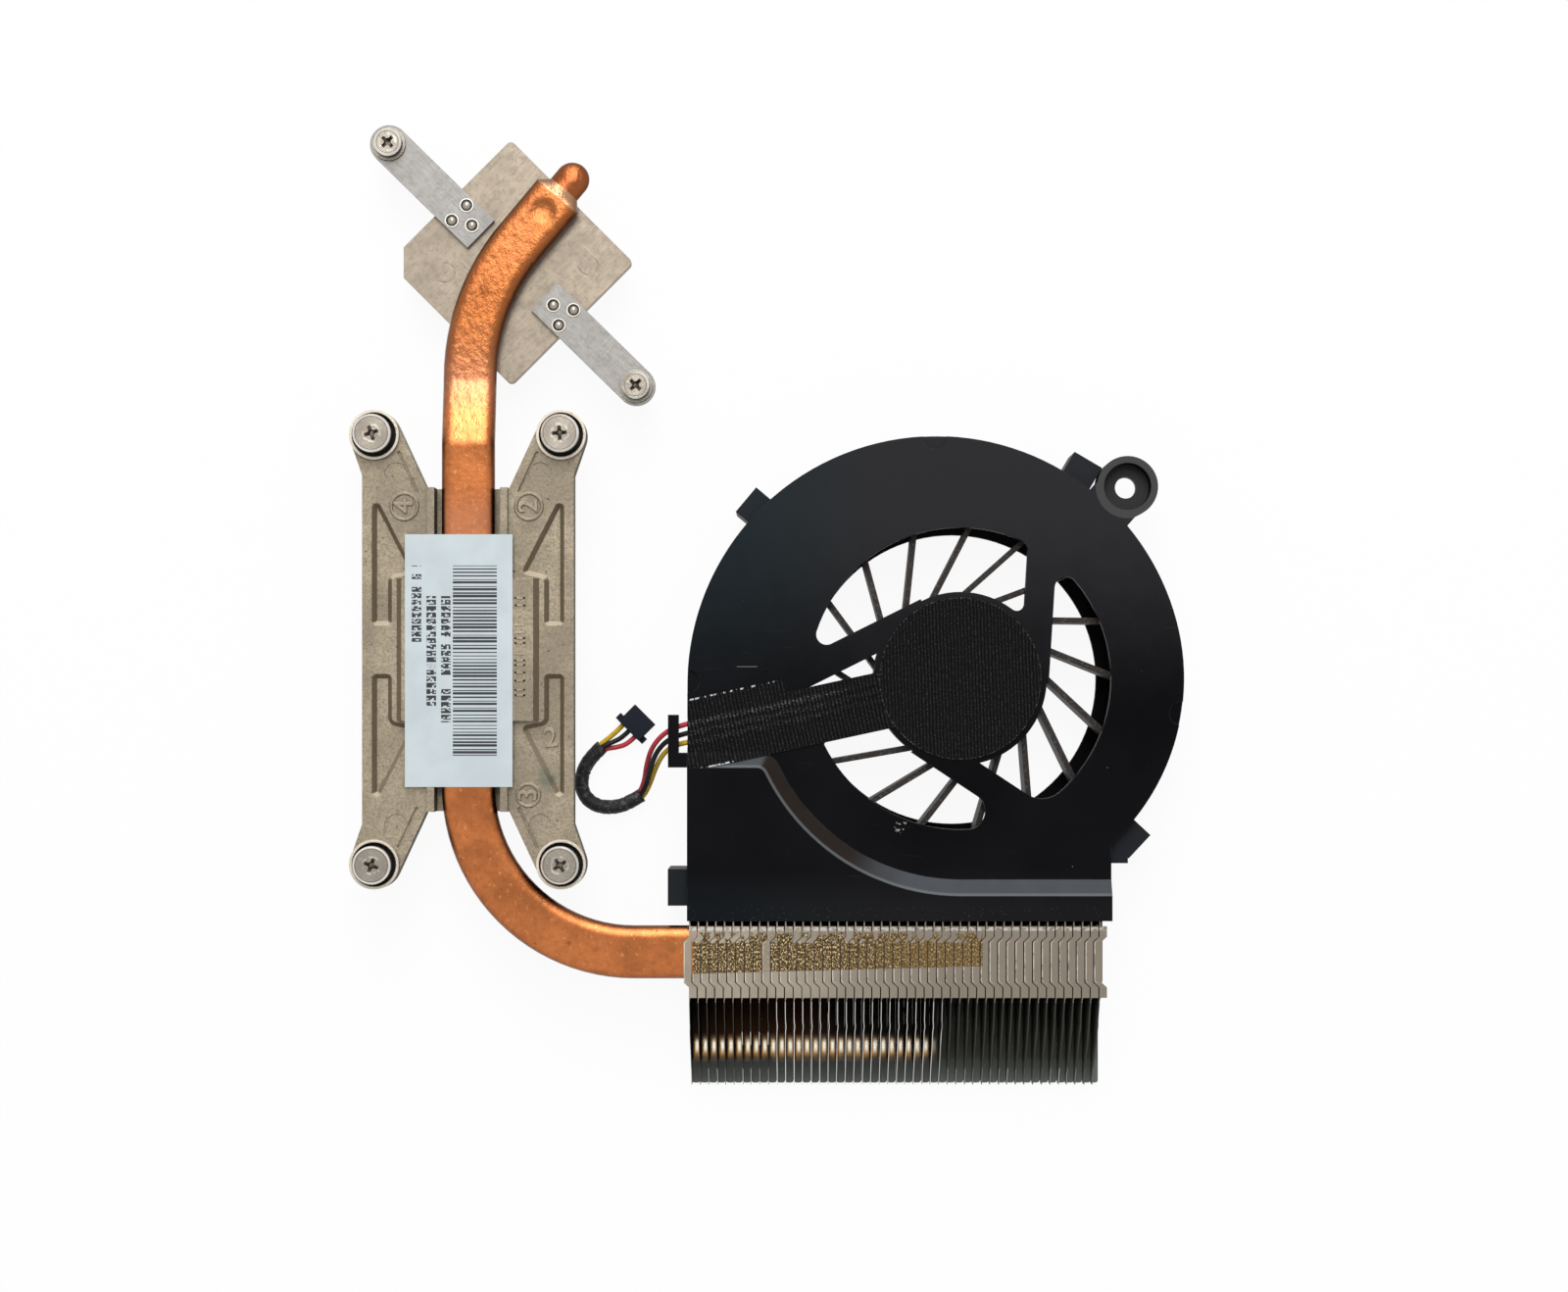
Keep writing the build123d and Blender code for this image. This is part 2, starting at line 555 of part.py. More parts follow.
def scroll(inset, mouth):
    """Outline of the housing, drawn in by a wall, down to the mouth of the duct."""
    tight = SCROLL_R - inset
    wide = BIG_R - inset
    right = DUCT_RIGHT - inset
    join = SCROLL_TURN - 180
    start = -degrees(acos(right / tight))
    small_arc = CenterArc((0, 0), tight, start, join - start)
    big_arc = CenterArc((BIG_X, BIG_Y), wide, join, 180 - join)
    left_wall = Line(big_arc @ 1, (WALL_LEFT + inset, mouth))
    edge = Line(left_wall @ 1, (right, mouth))
    right_wall = Line(edge @ 1, small_arc @ 0)
    return make_face([small_arc, big_arc, left_wall, edge, right_wall])


def low_zone(low):
    """Tool that clears the lower level of the housing, with its sloping edge."""
    far = 2 * SCROLL_R
    foot = Circle(RAMP_R) + Pos(far / 2, (far - RAMP_R) / 2) * Rectangle(far, far + RAMP_R)
    foot += Pos(-far / 2, (far + RAMP_LEFT_Y) / 2) * Rectangle(far, far - RAMP_LEFT_Y)
    foot = fillet(foot.vertices().sort_by_distance((-RAMP_R, RAMP_LEFT_Y))[0], RAMP_CORNER)
    brow = offset(foot, RAMP_W, kind=Kind.INTERSECTION)
    return loft([Pos(0, 0, low) * foot, Pos(0, 0, low + DUCT_RISE) * brow], ruled=True)


def windows():
    """Air windows round the hub, between the spokes."""
    openings = Circle(INLET_R) - Circle(HUB_R)
    for number in range(SPOKES):
        turn = SPOKE_TURN + number * 360 / SPOKES
        openings -= strip(turn, SPOKE_IN, SPOKE_OUT, 0, 2 * INLET_R)
    openings -= strip(LEAD_TURN, LEAD_LOWER, LEAD_UPPER, 0, 2 * INLET_R)
    for reach, corners in ((INLET_R, WINDOW_TURNS), (HUB_R, [HUB_CORNER_TURN])):
        for turn, radius in corners:
            spot = Vector(reach, 0).rotate(Axis.Z, turn)
            openings = fillet(openings.vertices().sort_by_distance(spot)[0], radius)
    return openings


def lead_groove():
    """Groove for the three leads, out through the left wall."""
    half = WIRE_PITCH + WIRE_D / 2 + GROOVE_SIDE
    return strip(LEAD_TURN, WIRE_MID - half, WIRE_MID + half, LEAD_START, 2 * SCROLL_R)


def housing():
    """Moulded housing: plate, walls, hub, spokes, ear, lugs and cable hook."""
    body = prism(scroll(0, DUCT_END), COVER_TOP_Z, DUCT_TOP_Z) - low_zone(FAN_TOP_Z)
    inside = scroll(FAN_WALL, DUCT_END - FAN_WALL)
    body -= prism(inside, COVER_TOP_Z, FAN_CEILING_Z)
    body -= prism(inside, FAN_CEILING_Z, FAN_CEILING_Z + DUCT_RISE) - low_zone(FAN_CEILING_Z)
    lead_base = strip(LEAD_TURN, LEAD_LOWER, LEAD_UPPER, HUB_R, 2 * SCROLL_R) & inside
    body += prism(lead_base, FAN_CEILING_Z - LEAD_FLOOR, FAN_CEILING_Z)
    body -= prism(windows(), COVER_TOP_Z, DUCT_TOP_Z)
    body -= prism(lead_groove(), FAN_CEILING_Z, DUCT_TOP_Z)
    web = Rot(0, 0, EAR_TURN) * block(
        SCROLL_R - FAN_WALL / 2, SCROLL_R + EAR_OUT, -EAR_WEB / 2, EAR_WEB / 2, EAR_BASE_Z, FAN_TOP_Z
    )
    body += web + disc(EAR_AT[0], EAR_AT[1], EAR_R, EAR_BASE_Z, FAN_TOP_Z)
    body -= disc(EAR_AT[0], EAR_AT[1], EAR_SINK_R, EAR_BASE_Z + EAR_FLOOR_T, FAN_TOP_Z)
    body -= disc(EAR_AT[0], EAR_AT[1], EAR_HOLE_R, EAR_BASE_Z, FAN_TOP_Z)
    for turn, height in LUG_TURNS:
        lug = block(SCROLL_R - FAN_WALL, SCROLL_R + height, -LUG_W / 2, LUG_W / 2, COVER_TOP_Z, LUG_TOP_Z)
        if turn > 90:
            lug = Pos(SCROLL_GROW, 0, 0) * lug
        body += Rot(0, 0, turn) * lug - prism(inside, COVER_TOP_Z, LUG_TOP_Z)
    body += block(
        WALL_LEFT - LUG_OUT,
        WALL_LEFT,
        LUG_LEFT_Y - LUG_LEFT_W / 2,
        LUG_LEFT_Y + LUG_LEFT_W / 2,
        COVER_TOP_Z,
        LUG_TOP_Z,
    )
    wall_top = -sqrt(SCROLL_R ** 2 - DUCT_RIGHT ** 2)
    foot_end = DUCT_RIGHT + LUG_FOOT[1]
    foot_low = wall_top - LUG_FOOT[0]
    body += block(DUCT_RIGHT, foot_end, foot_low, wall_top, COVER_TOP_Z, LUG_TOP_Z) - prism(
        inside, COVER_TOP_Z, LUG_TOP_Z
    )
    for turn in NOTCH_TURNS:
        rim = SCROLL_R if abs(turn) < 45 else BIG_R + BIG_Y
        at = Vector(rim, 0).rotate(Axis.Z, turn)
        body -= disc(at.X, at.Y, NOTCH_R, FAN_TOP_Z - NOTCH_DEPTH, FAN_TOP_Z)
    body -= disc(WALL_LEFT, NOTCH_LEFT_Y, NOTCH_R, FAN_TOP_Z - NOTCH_DEPTH, FAN_TOP_Z)
    bar_low = WIRE_Z + WIRE_D / 2 + CLIP_BAR_GAP
    bar_top = bar_low + CLIP_BAR_T
    hook_in = WALL_LEFT - CLIP_BAR_OFF
    hook_out = hook_in - CLIP_BAR_W
    foot = LEAD_EXIT_Y - CLIP_FOOT_UNDER
    body += block(hook_out, hook_in, foot, LEAD_EXIT_Y + CLIP_BAR_OVER, bar_low, bar_top)
    body += block(hook_out, WALL_LEFT, foot, foot + CLIP_FOOT_W, CLIP_FOOT_Z, bar_top)
    return FAN * body


def cover():
    """Flat cover under the fan, with its inlet and a thin lip under the fins."""
    plate = prism(scroll(0, DUCT_END), REST_Z, COVER_TOP_Z)
    lip_end = DUCT_END - COVER_LIP
    plate += block(WALL_LEFT, DUCT_RIGHT, lip_end, DUCT_END, REST_Z, REST_Z + COVER_LIP_T)
    return FAN * (plate - disc(-COVER_INLET_OFF, 0, COVER_INLET_R, REST_Z, COVER_TOP_Z))


IMPELLER_LOW_Z = COVER_TOP_Z + FLOOR_CLEAR
CUP_INSIDE_Z = IMPELLER_LOW_Z + CUP_FLOOR_T
YOKE_R = CUP_R - CUP_T - FIT
MAGNET_R = YOKE_R - YOKE_T - FIT
STATOR_R = MAGNET_R - MAGNET_T - AIR_GAP
HOLDER_R = BUSH_R + FIT + HOLDER_T
HOLDER_LOW_Z = FAN_CEILING_Z - HOLDER_LEN
THRUST_Z = FAN_CEILING_Z - THRUST_T
BOARD_LOW_Z = FAN_CEILING_Z - BOARD_T


def impeller():
    """Hub cup with straight blades that lean back along tangents."""
    wheel = ring(CUP_R - CUP_T, CUP_R, IMPELLER_LOW_Z, BLADE_TOP_Z)
    wheel += disc(0, 0, CUP_R, IMPELLER_LOW_Z, CUP_INSIDE_Z)
    wheel += disc(0, 0, BOSS_R, IMPELLER_LOW_Z, HOLDER_LOW_Z - AIR_GAP)
    root = sqrt((CUP_R - CUP_T / 2) ** 2 - BLADE_OFFSET ** 2)
    tip = sqrt(BLADE_TIP_R ** 2 - BLADE_OFFSET ** 2)
    blade = block(
        root, tip, BLADE_OFFSET - BLADE_T / 2, BLADE_OFFSET + BLADE_T / 2, IMPELLER_LOW_Z, BLADE_TOP_Z
    )
    lean = degrees(atan2(BLADE_OFFSET, sqrt(INLET_R ** 2 - BLADE_OFFSET ** 2)))
    wheel += [
        Rot(0, 0, BLADE_FIRST - lean + number * 360 / BLADES) * blade for number in range(BLADES)
    ]
    return FAN * (wheel - disc(0, 0, SHAFT_R + FIT, CUP_INSIDE_Z - CUP_FLOOR_T / 2, BLADE_TOP_Z))


def yoke():
    """Steel cup inside the hub."""
    cup = disc(0, 0, YOKE_R, CUP_INSIDE_Z, BLADE_TOP_Z) - disc(
        0, 0, YOKE_R - YOKE_T, CUP_INSIDE_Z + YOKE_T, BLADE_TOP_Z
    )
    return FAN * (cup - disc(0, 0, BOSS_R + FIT, CUP_INSIDE_Z, BLADE_TOP_Z))


def magnet():
    """Ring magnet inside the steel cup, level with the stator."""
    middle = STATOR_TOP_Z - STATOR_T / 2
    return FAN * ring(MAGNET_R - MAGNET_T, MAGNET_R, middle - MAGNET_H / 2, middle + MAGNET_H / 2)


def shaft():
    """Ground shaft, set in the hub and running in the bush."""
    return FAN * disc(0, 0, SHAFT_R, CUP_INSIDE_Z - CUP_FLOOR_T / 2, THRUST_Z - END_PLAY)


def bearing_holder():
    """Brass tube under the hub plate."""
    return FAN * ring(BUSH_R + FIT, HOLDER_R, HOLDER_LOW_Z, FAN_CEILING_Z)


def bush():
    """Sintered sleeve bearing."""
    return FAN * ring(SHAFT_R + FIT, BUSH_R, HOLDER_LOW_Z, THRUST_Z)


def thrust_disc():
    """Wear disc above the shaft end."""
    return FAN * disc(0, 0, BUSH_R, THRUST_Z, FAN_CEILING_Z)


def tooth_place(number):
    """Frame of one stator tooth, X running outwards."""
    return Rot(0, 0, 45 + number * 360 / STATOR_POLES)


def stator():
    """Laminated core with four teeth."""
    core = Circle(HOLDER_R + FIT + STATOR_HUB)
    rim = Circle(STATOR_R) - Circle(STATOR_R - SHOE_T)
    for number in range(STATOR_POLES):
        core += tooth_place(number) * Pos(STATOR_R / 2, 0) * Rectangle(STATOR_R - SHOE_T, TOOTH_W)
        gap = tooth_place(number + 0.5) * Pos(STATOR_R, 0) * Rectangle(4 * SHOE_T, SHOE_SLOT)
        rim -= gap
    core = (core + rim) - Circle(HOLDER_R + FIT)
    return FAN * prism(core, STATOR_TOP_Z - STATOR_T, STATOR_TOP_Z)


def coils():
    """One winding round each tooth."""
    start = HOLDER_R + STATOR_HUB + 4 * FIT + COIL_T / 2
    half = TOOTH_W / 2
    end = sqrt((STATOR_R - SHOE_T - 4 * FIT) ** 2 - (half + COIL_T) ** 2)
    low = STATOR_TOP_Z - STATOR_T
    outer = block(start, end, -half - COIL_T, half + COIL_T, low - COIL_T, STATOR_TOP_Z + COIL_T)
    inner = block(start, end, -half - FIT, half + FIT, low - FIT, STATOR_TOP_Z + FIT)
    return [FAN * tooth_place(number) * (outer - inner) for number in range(STATOR_POLES)]


def board():
    """Round circuit board under the hub plate."""
    return FAN * ring(HOLDER_R + FIT, BOARD_R, BOARD_LOW_Z, FAN_CEILING_Z)


def hub_tape():
    """Cloth tape disc over the hub."""
    return FAN * disc(0, 0, TAPE_DISC_R, FAN_TOP_Z, FAN_TOP_Z + TAPE_T)


def lead_tape():
    """Cloth tape over the leads and up the ramp, wider beside the wall."""
    wall = -WALL_LEFT
    run = strip(LEAD_TURN, LEAD_LOWER, LEAD_UPPER, 0, 2 * wall)
    run += strip(LEAD_TURN, LEAD_LOWER, LEAD_UPPER + PATCH_OVER, wall - PATCH_RUN, 2 * wall)
    run -= Circle(TAPE_DISC_R + FIT)
    flat = run & (scroll(FIT, DUCT_END))
    tape = prism(flat, FAN_TOP_Z, DUCT_TOP_Z) & low_zone(FAN_TOP_Z)
    return FAN * (tape - low_zone(FAN_TOP_Z + TAPE_T))


def fin():
    """One folded fin: plate, top flange, bottom flange and a slot for the pipe."""
    front = FIN_FRONT_Y
    back = front - FIN_DEPTH
    low = REST_Z + COVER_LIP_T
    under = PIPE_TOP_Z + SOLDER_GAP
    top = under + FIN_T
    flange_front = front - FLANGE_START
    flange_back = flange_front - FLANGE_LEN
    slope_end = flange_back - FIN_SLOPE_RUN
    profile = [(front, low), (front, top), (flange_back, top), (slope_end, top - FIN_SLOPE_DROP)]
    profile += [(back + FIN_TOE_LEN, low + FIN_TOE_H), (back, low + FIN_TOE_H), (back, low)]
    half = PIPE_W / 2 + SOLDER_GAP
    near = PIPE_FIN_Y + half
    far = PIPE_FIN_Y - half
    base = PIPE_BASE_Z - SOLDER_GAP
    slot = [(near, base + SLOT_CHAMFER), (near, under - SLOT_CHAMFER), (near - SLOT_CHAMFER, under)]
    slot += [(far + SLOT_CHAMFER, under), (far, under - SLOT_CHAMFER), (far, base + SLOT_CHAMFER)]
    slot += [(far + SLOT_CHAMFER, base), (near - SLOT_CHAMFER, base)]
    face = Plane.YZ * (Polygon(*profile, align=None) - Polygon(*slot, align=None))
    plate = extrude(face, FIN_T, dir=(1, 0, 0))
    width = FIN_PITCH - FLANGE_GAP
    turns = [(0, flange_front), (0, flange_front - FLANGE_END)]
    turns += [(-FLANGE_WAIST, flange_front - FLANGE_END - FLANGE_SLANT)]
    turns += [(-FLANGE_WAIST, flange_back + FLANGE_END + FLANGE_SLANT)]
    turns += [(0, flange_back + FLANGE_END), (0, flange_back)]
    flange = turns + [(x + width, y) for x, y in reversed(turns)]
    plate += prism(flange, under, top)
    return plate + block(0, width, back, front, low, low + FIN_T)


def fin_stack():
    """All the fins, side by side."""
    one = fin()
    return [Pos(FIN_FIRST_X + number * FIN_PITCH, 0, 0) * one for number in range(FINS)]


def label():
    """Paper label across the pipe."""
    x, y = LABEL_AT
    sheet = block(x - LABEL_W / 2, x + LABEL_W / 2, y - LABEL_L / 2, y + LABEL_L / 2, 0, LABEL_T)
    return Pos(0, 0, PIPE_TOP_Z) * sheet


def lead_point(place):
    """Middle of the lead at one place on its route."""
    x, y, z = ROUTE[place][:3]
    return (FAN_WALL_X + x, FAN_AT[1] + LEAD_EXIT_Y + y, z)


def lead_points(side):
    """Route of one wire: -1, 0 and 1 lie side by side, and the middle one is lifted."""
    points = []
    last = len(ROUTE) - 1
    for place, (_, _, _, spread, lift) in enumerate(ROUTE):
        x, y, z = lead_point(place)
        before = ROUTE[max(place - 1, 0)]
        after = ROUTE[min(place + 1, last)]
        heading = atan2(after[1] - before[1], after[0] - before[0])
        rise = lift * (2 / 3 if side == 0 else -1 / 3)
        points.append((x - side * spread * sin(heading), y + side * spread * cos(heading), z + rise))
    return points


def tube_path(points):
    """Straight runs joined by the largest arcs that fit."""
    radii = []
    for before, here, after in zip(points, points[1:], points[2:]):
        come = Vector(*here) - Vector(*before)
        go = Vector(*after) - Vector(*here)
        half_turn = radians(come.get_angle(go)) / 2
        radii.append(0.45 * min(come.length, go.length) / tan(half_turn))
    return FilletPolyline(*points, radius=radii)


def wire(side):
    """One insulated wire of the lead."""
    path = tube_path(lead_points(side))
    return sweep(Plane(path @ 0, z_dir=path % 0) * Circle(WIRE_D / 2), path=path)


def taped_leads():
    """The stretch of the three wires that lies in the groove under the tape."""
    pieces = []
    for side in (-1, 0, 1):
        x, y, z = lead_points(side)[0]
        inwards = Vector(1, 0).rotate(Axis.Z, LEAD_TURN - 180)
        reach = -inwards.dot(Vector(x - FAN_AT[0], y - FAN_AT[1])) - LEAD_START
        start = Plane((x, y, z), z_dir=inwards)
        pieces.append(extrude(start * Circle(WIRE_D / 2), reach))
    return pieces


def sleeve():
    """Black sleeve round the middle of the lead."""
    points = [lead_point(place) for place in range(SLEEVE_FROM, SLEEVE_TO + 1)]
    path = tube_path(points)
    start = Plane(path @ 0, z_dir=path % 0)
    section = start * (Circle(SLEEVE_BORE_R + SLEEVE_WALL) - Circle(SLEEVE_BORE_R))
    return sweep(section, path=path)


def plug_place():
    """Frame at the rear of the plug, X running to its mouth."""
    x, y, _ = lead_point(len(ROUTE) - 1)
    return Pos(x, y, REST_Z) * Rot(0, 0, PLUG_TURN)


def plug():
    """Three-way plug housing with side ears and contact slots."""
    half = PLUG_W / 2
    body = block(0, PLUG_LEN, -half, half, 0, PLUG_H)
    body += block(0, PLUG_EAR_LEN, -PLUG_EAR_W / 2, PLUG_EAR_W / 2, 0, PLUG_H * 0.7)
    middle = PLUG_H / 2
    for side in (-1, 0, 1):
        y = side * PLUG_PITCH
        body -= block(PLUG_EAR_LEN, PLUG_LEN, y - PLUG_SLOT / 2, y + PLUG_SLOT / 2, middle - PLUG_SLOT / 2,
                      middle + PLUG_SLOT / 2)
    return plug_place() * body


def plug_contacts():
    """Crimped contacts inside the plug."""
    middle = PLUG_H / 2
    half = CONTACT_D / 2
    return [
        plug_place() * block(PLUG_EAR_LEN, PLUG_LEN - half, y - half, y + half, middle - half, middle + half)
        for y in (-PLUG_PITCH, 0, PLUG_PITCH)
    ]


save("cpu_contact_plate", contact_plate())
save("cpu_bracket", bracket())
save("heat_pipe", heat_pipe())
save("fin_stack", Compound(children=fin_stack()))
save("label", label())

one_screw = sprung_screw()
one_ring = retaining_ring(SCREW_R - CLIP_STEP, BRACKET_BASE_Z - CLIP_PLAY - CLIP_T)
one_spring = screw_spring()
corners = [(-1, 1), (1, 1), (1, -1), (-1, -1)]
for number, (side, end) in enumerate(corners, start=1):
    at = Pos(side * SCREW_DX / 2, end * SCREW_DY / 2, 0)
    save(f"cpu_screw_{number}", at * Rot(0, 0, SCREW_TURNS[number - 1]) * one_screw)
    save(f"cpu_screw_ring_{number}", at * one_ring)
    save(f"cpu_spring_{number}", at * one_spring)

save("gpu_plate", graphics_plate())
save("arm_rivets", Compound(children=rivets()))
arm_ring = retaining_ring(ARM_SCREW_R - CLIP_STEP, PLATE_TOP_Z - ARM_LIFT - CLIP_PLAY - CLIP_T)
for name, side in (("upper", 1), ("lower", -1)):
    save(f"gpu_arm_{name}", leaf_arm(side))
    save(f"gpu_screw_{name}", arm_place(side) * arm_screw())
    save(f"gpu_screw_ring_{name}", arm_place(side) * arm_ring)

save("fan_housing", housing())
save("fan_cover", cover())
save("impeller", impeller())
save("rotor_yoke", yoke())
save("rotor_magnet", magnet())
save("rotor_shaft", shaft())
save("bearing_holder", bearing_holder())
save("sleeve_bearing", bush())
save("thrust_disc", thrust_disc())
save("stator_core", stator())
save("stator_coils", Compound(children=coils()))
save("motor_board", board())
save("hub_tape", hub_tape())
save("lead_tape", lead_tape())

save("taped_leads", Compound(children=taped_leads()))
for name, side in (("red", -1), ("black", 0), ("yellow", 1)):
    save(f"wire_{name}", wire(side))
save("lead_sleeve", sleeve())
save("plug_housing", plug())
save("plug_contacts", Compound(children=plug_contacts()))
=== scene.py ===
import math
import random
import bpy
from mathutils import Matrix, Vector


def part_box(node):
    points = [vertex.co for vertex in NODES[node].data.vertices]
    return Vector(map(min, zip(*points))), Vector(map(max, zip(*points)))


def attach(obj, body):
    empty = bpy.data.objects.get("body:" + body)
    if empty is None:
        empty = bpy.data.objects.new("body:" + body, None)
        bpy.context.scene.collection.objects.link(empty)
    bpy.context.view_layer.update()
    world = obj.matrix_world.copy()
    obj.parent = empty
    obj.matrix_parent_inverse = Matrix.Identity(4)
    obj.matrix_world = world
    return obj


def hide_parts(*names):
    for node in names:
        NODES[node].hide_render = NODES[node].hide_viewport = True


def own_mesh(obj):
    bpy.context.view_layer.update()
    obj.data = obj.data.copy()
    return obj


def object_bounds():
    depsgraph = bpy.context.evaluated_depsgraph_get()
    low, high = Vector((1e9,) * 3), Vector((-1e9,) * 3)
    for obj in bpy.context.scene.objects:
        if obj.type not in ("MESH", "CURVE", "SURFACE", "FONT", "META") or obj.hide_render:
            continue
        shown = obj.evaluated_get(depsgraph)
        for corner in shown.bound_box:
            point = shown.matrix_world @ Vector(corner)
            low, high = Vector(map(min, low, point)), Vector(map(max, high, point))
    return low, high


bl_info = {
    "name": "Laptop cooling module",
    "version": (1, 0, 0),
    "blender": (4, 5, 0),
    "location": "View3D > Sidebar > Cooling module",
    "description": "Finishes, lead and studio for a laptop fan with its heat pipe and fins",
    "category": "Object",
}

from functools import cached_property

import bmesh
import bpy
from bpy.props import FloatProperty, FloatVectorProperty, PointerProperty
from mathutils import Matrix, Vector

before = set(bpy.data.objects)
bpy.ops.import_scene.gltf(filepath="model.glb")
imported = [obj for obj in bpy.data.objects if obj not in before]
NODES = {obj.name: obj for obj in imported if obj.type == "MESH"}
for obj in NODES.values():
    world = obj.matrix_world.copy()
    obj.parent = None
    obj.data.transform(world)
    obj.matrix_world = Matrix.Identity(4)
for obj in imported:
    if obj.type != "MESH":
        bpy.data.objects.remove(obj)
CAD_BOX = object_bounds()
MM = 0.001
UP = Vector((0, 0, 1))

# Photograph and camera: the camera looks straight down.
PHOTO_W = 1600
PHOTO_H = 1318
CAMERA_AT = (0.04737, -0.00952, 0.3555)
CAMERA_NEAR = 0.01
FOCAL_PX = 2485.0
AXIS_PX = (812, 730)
SENSOR = 36.0

# Table and lamp, in metres. The table lies a little under the module, and a share of its look is glow.
TABLE_DROP = 0.00003
TABLE_Z = CAD_BOX[0].z - TABLE_DROP
TABLE_HALF = 1.5
TABLE_GLOW = 0.93
LAMP_AT = (0.02, 0.62, 0.80)
LAMP_SIZE = (0.50, 0.90)

# Places that finishes refer to, in millimetres. A name with AT is a point seen from above. Another pair is
# where a look starts and ends. First the fan, then the pipe, the bracket, the graphics plate and the screws.
FAN_LOW, FAN_HIGH = (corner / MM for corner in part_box("hub_tape"))
FAN_X = (FAN_LOW.x + FAN_HIGH.x) / 2
FAN_Y = (FAN_LOW.y + FAN_HIGH.y) / 2
EAR_AT = (FAN_X + 24.15, FAN_Y + 27.70)
EAR_RING = (3.3, 4.6)
LUG_TOP = (2.4, 2.8)
RAMP_TOP = (5.28, 5.5)
MOUTH_Y = (-39.2, -36.9)
SCRATCH_X = (38.9, 41.8)
SCRATCH_Y = (-2.47, -2.40)
CRUMBS_AT = (62.6, -25.6)
TAPE_RIM = (11.55, 11.75)
TAPE_THREAD = 0.31
HUB_TAPE_TURN = math.radians(2)
DULL_BELOW = (6, 21)
DULL_ABOVE = (36, 46)
HOOK_Y = (39, 44)
STEP_Y = (28.5, 30.0)
SPOT_AT = (2.2, 36.4)
NECK_AT = (12.72, 65.94)
NECK_TURN = math.radians(50)
NECK_LEN = (0.0, 1.6)
AMONG_FINS = (32.9, 33.3)
CUP_AT = (13.5, 31.0)
CUP_RIM = (3.2, 3.62)
BLOOM_AT = (11.5, -18.8)
STAMPED = ((-3.9, 55.1), (17.0, 56.2))
STAMP_RING = (1.25, 1.55)
PLATE_GRAIN_TURN = math.radians(45)
LEAF_GRAIN_TURN = math.radians(135.6)
TURNING_GAP = 0.1848

# Label, in millimetres: the field of bars, and each column's middle, its ends and a number for its dashes.
BARS_X = (-2.05, 4.30)
BARS_Y = (-15.3, 12.1)
BAR_STEP = 0.50
DASH_STEP = 0.92
DASH_ROW = 0.26
COLUMNS = ((-3.05, -10.5, 7.7, 3.0), (-5.15, -8.1, 7.7, 41.0), (-7.28, 1.1, 12.1, 87.0))

# Folded fins, in millimetres: sheet, top flange with its waist, slope and toe at the back, pipe's slot.
FINS = 48
FIN_T = 0.2
FIN_THIN = 0.09
FLANGE_START = 0.7
FLANGE_LEN = 10.3
FLANGE_GAP = 0.165
WAIST = 0.75
FLANGE_TURNS = ((0, 0), (0, 1.5), (-WAIST, 2.2), (-WAIST, 8.1), (0, 8.8), (0, FLANGE_LEN))
SLOPE_RUN = 5.3
SLOPE_DROP = 2.5
SLOPE_PARTS = 14
TOE_RUN = 1.0
TOE_H = 2.2
TAIL_PARTS = 9
SLOT_HALF = 3.87
SLOT_H = 3.04
FLOOR_GAP = 0.015
FLOOR_CORNER = (0.35, 0.1)
LAST_GAP = 0.17
FIN_LOW, FIN_HIGH = (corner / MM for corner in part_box("fin_stack"))
FIN_LEFT = FIN_LOW.x + WAIST
FIN_PITCH = (FIN_HIGH.x - FIN_LEFT + LAST_GAP) / FINS

# How far the fins' thin edges are bent, in millimetres: a lean, a jog at one place and a slight wave.
FIN_LEAN = 0.05
LEAN_RUN = 12
FIN_JOG = 0.09
SMALL_JOG = 0.05
JOGGED = range(9, 30)
JOG_BACK = 4.4
JOG_RUN = 0.6
FIN_WAVE = 0.01
WAVE_TURN = 0.9
FIN_SEED = 11

# Looks of the fins, in millimetres. The flux lies over the pipe, except on one flange, and ends sharply.
FLANGE_TOP = (4.40, 4.48)
WAIST_Y = (-48.0, -42.0)
# Where a painted highlight runs along the flanges' front edge.
FRONT_HIGHLIGHT_Y = (-40.5, -39.98)
FLUX_BACK = (-46.75, -46.62)
FLUX_FRONT = (-40.1, -40.5)
FLUX_WHOLE = (-42.0, -42.4)
FLUX_END = (74.32, 74.22)
FLUX_LEFT = 32
FLUX_LEAN = 0.026
FLUX_MISSED = 9
# Where a painted golden glint lies low between the plates, and its brightest core.
GOLD_Y = (-59.8, -57.0)
GOLD_BRIGHT_Y = (-59.2, -57.6)

# Added details, in metres unless said: coils, threads, numerals, and the wall and dents of the sleeve.
COIL_TURNS = 2.5
COIL_STEPS = 36
THREAD_START = 0.0005
THREAD_SINK = 0.00003
THREAD_HALF = 0.42  # share of the pitch
LETTER_SIZE = 1.35  # size of a letter for a numeral of height 1
LETTER_BEVEL = 0.35  # share of the relief
HOOP_WIRE = 1.2  # share of the relief
HOOP_SIDES = 8
HOOP_STEPS = 40
SLEEVE_WALL = 0.0001
SLEEVE_DENT = 0.000022
DENT_SEED = 7

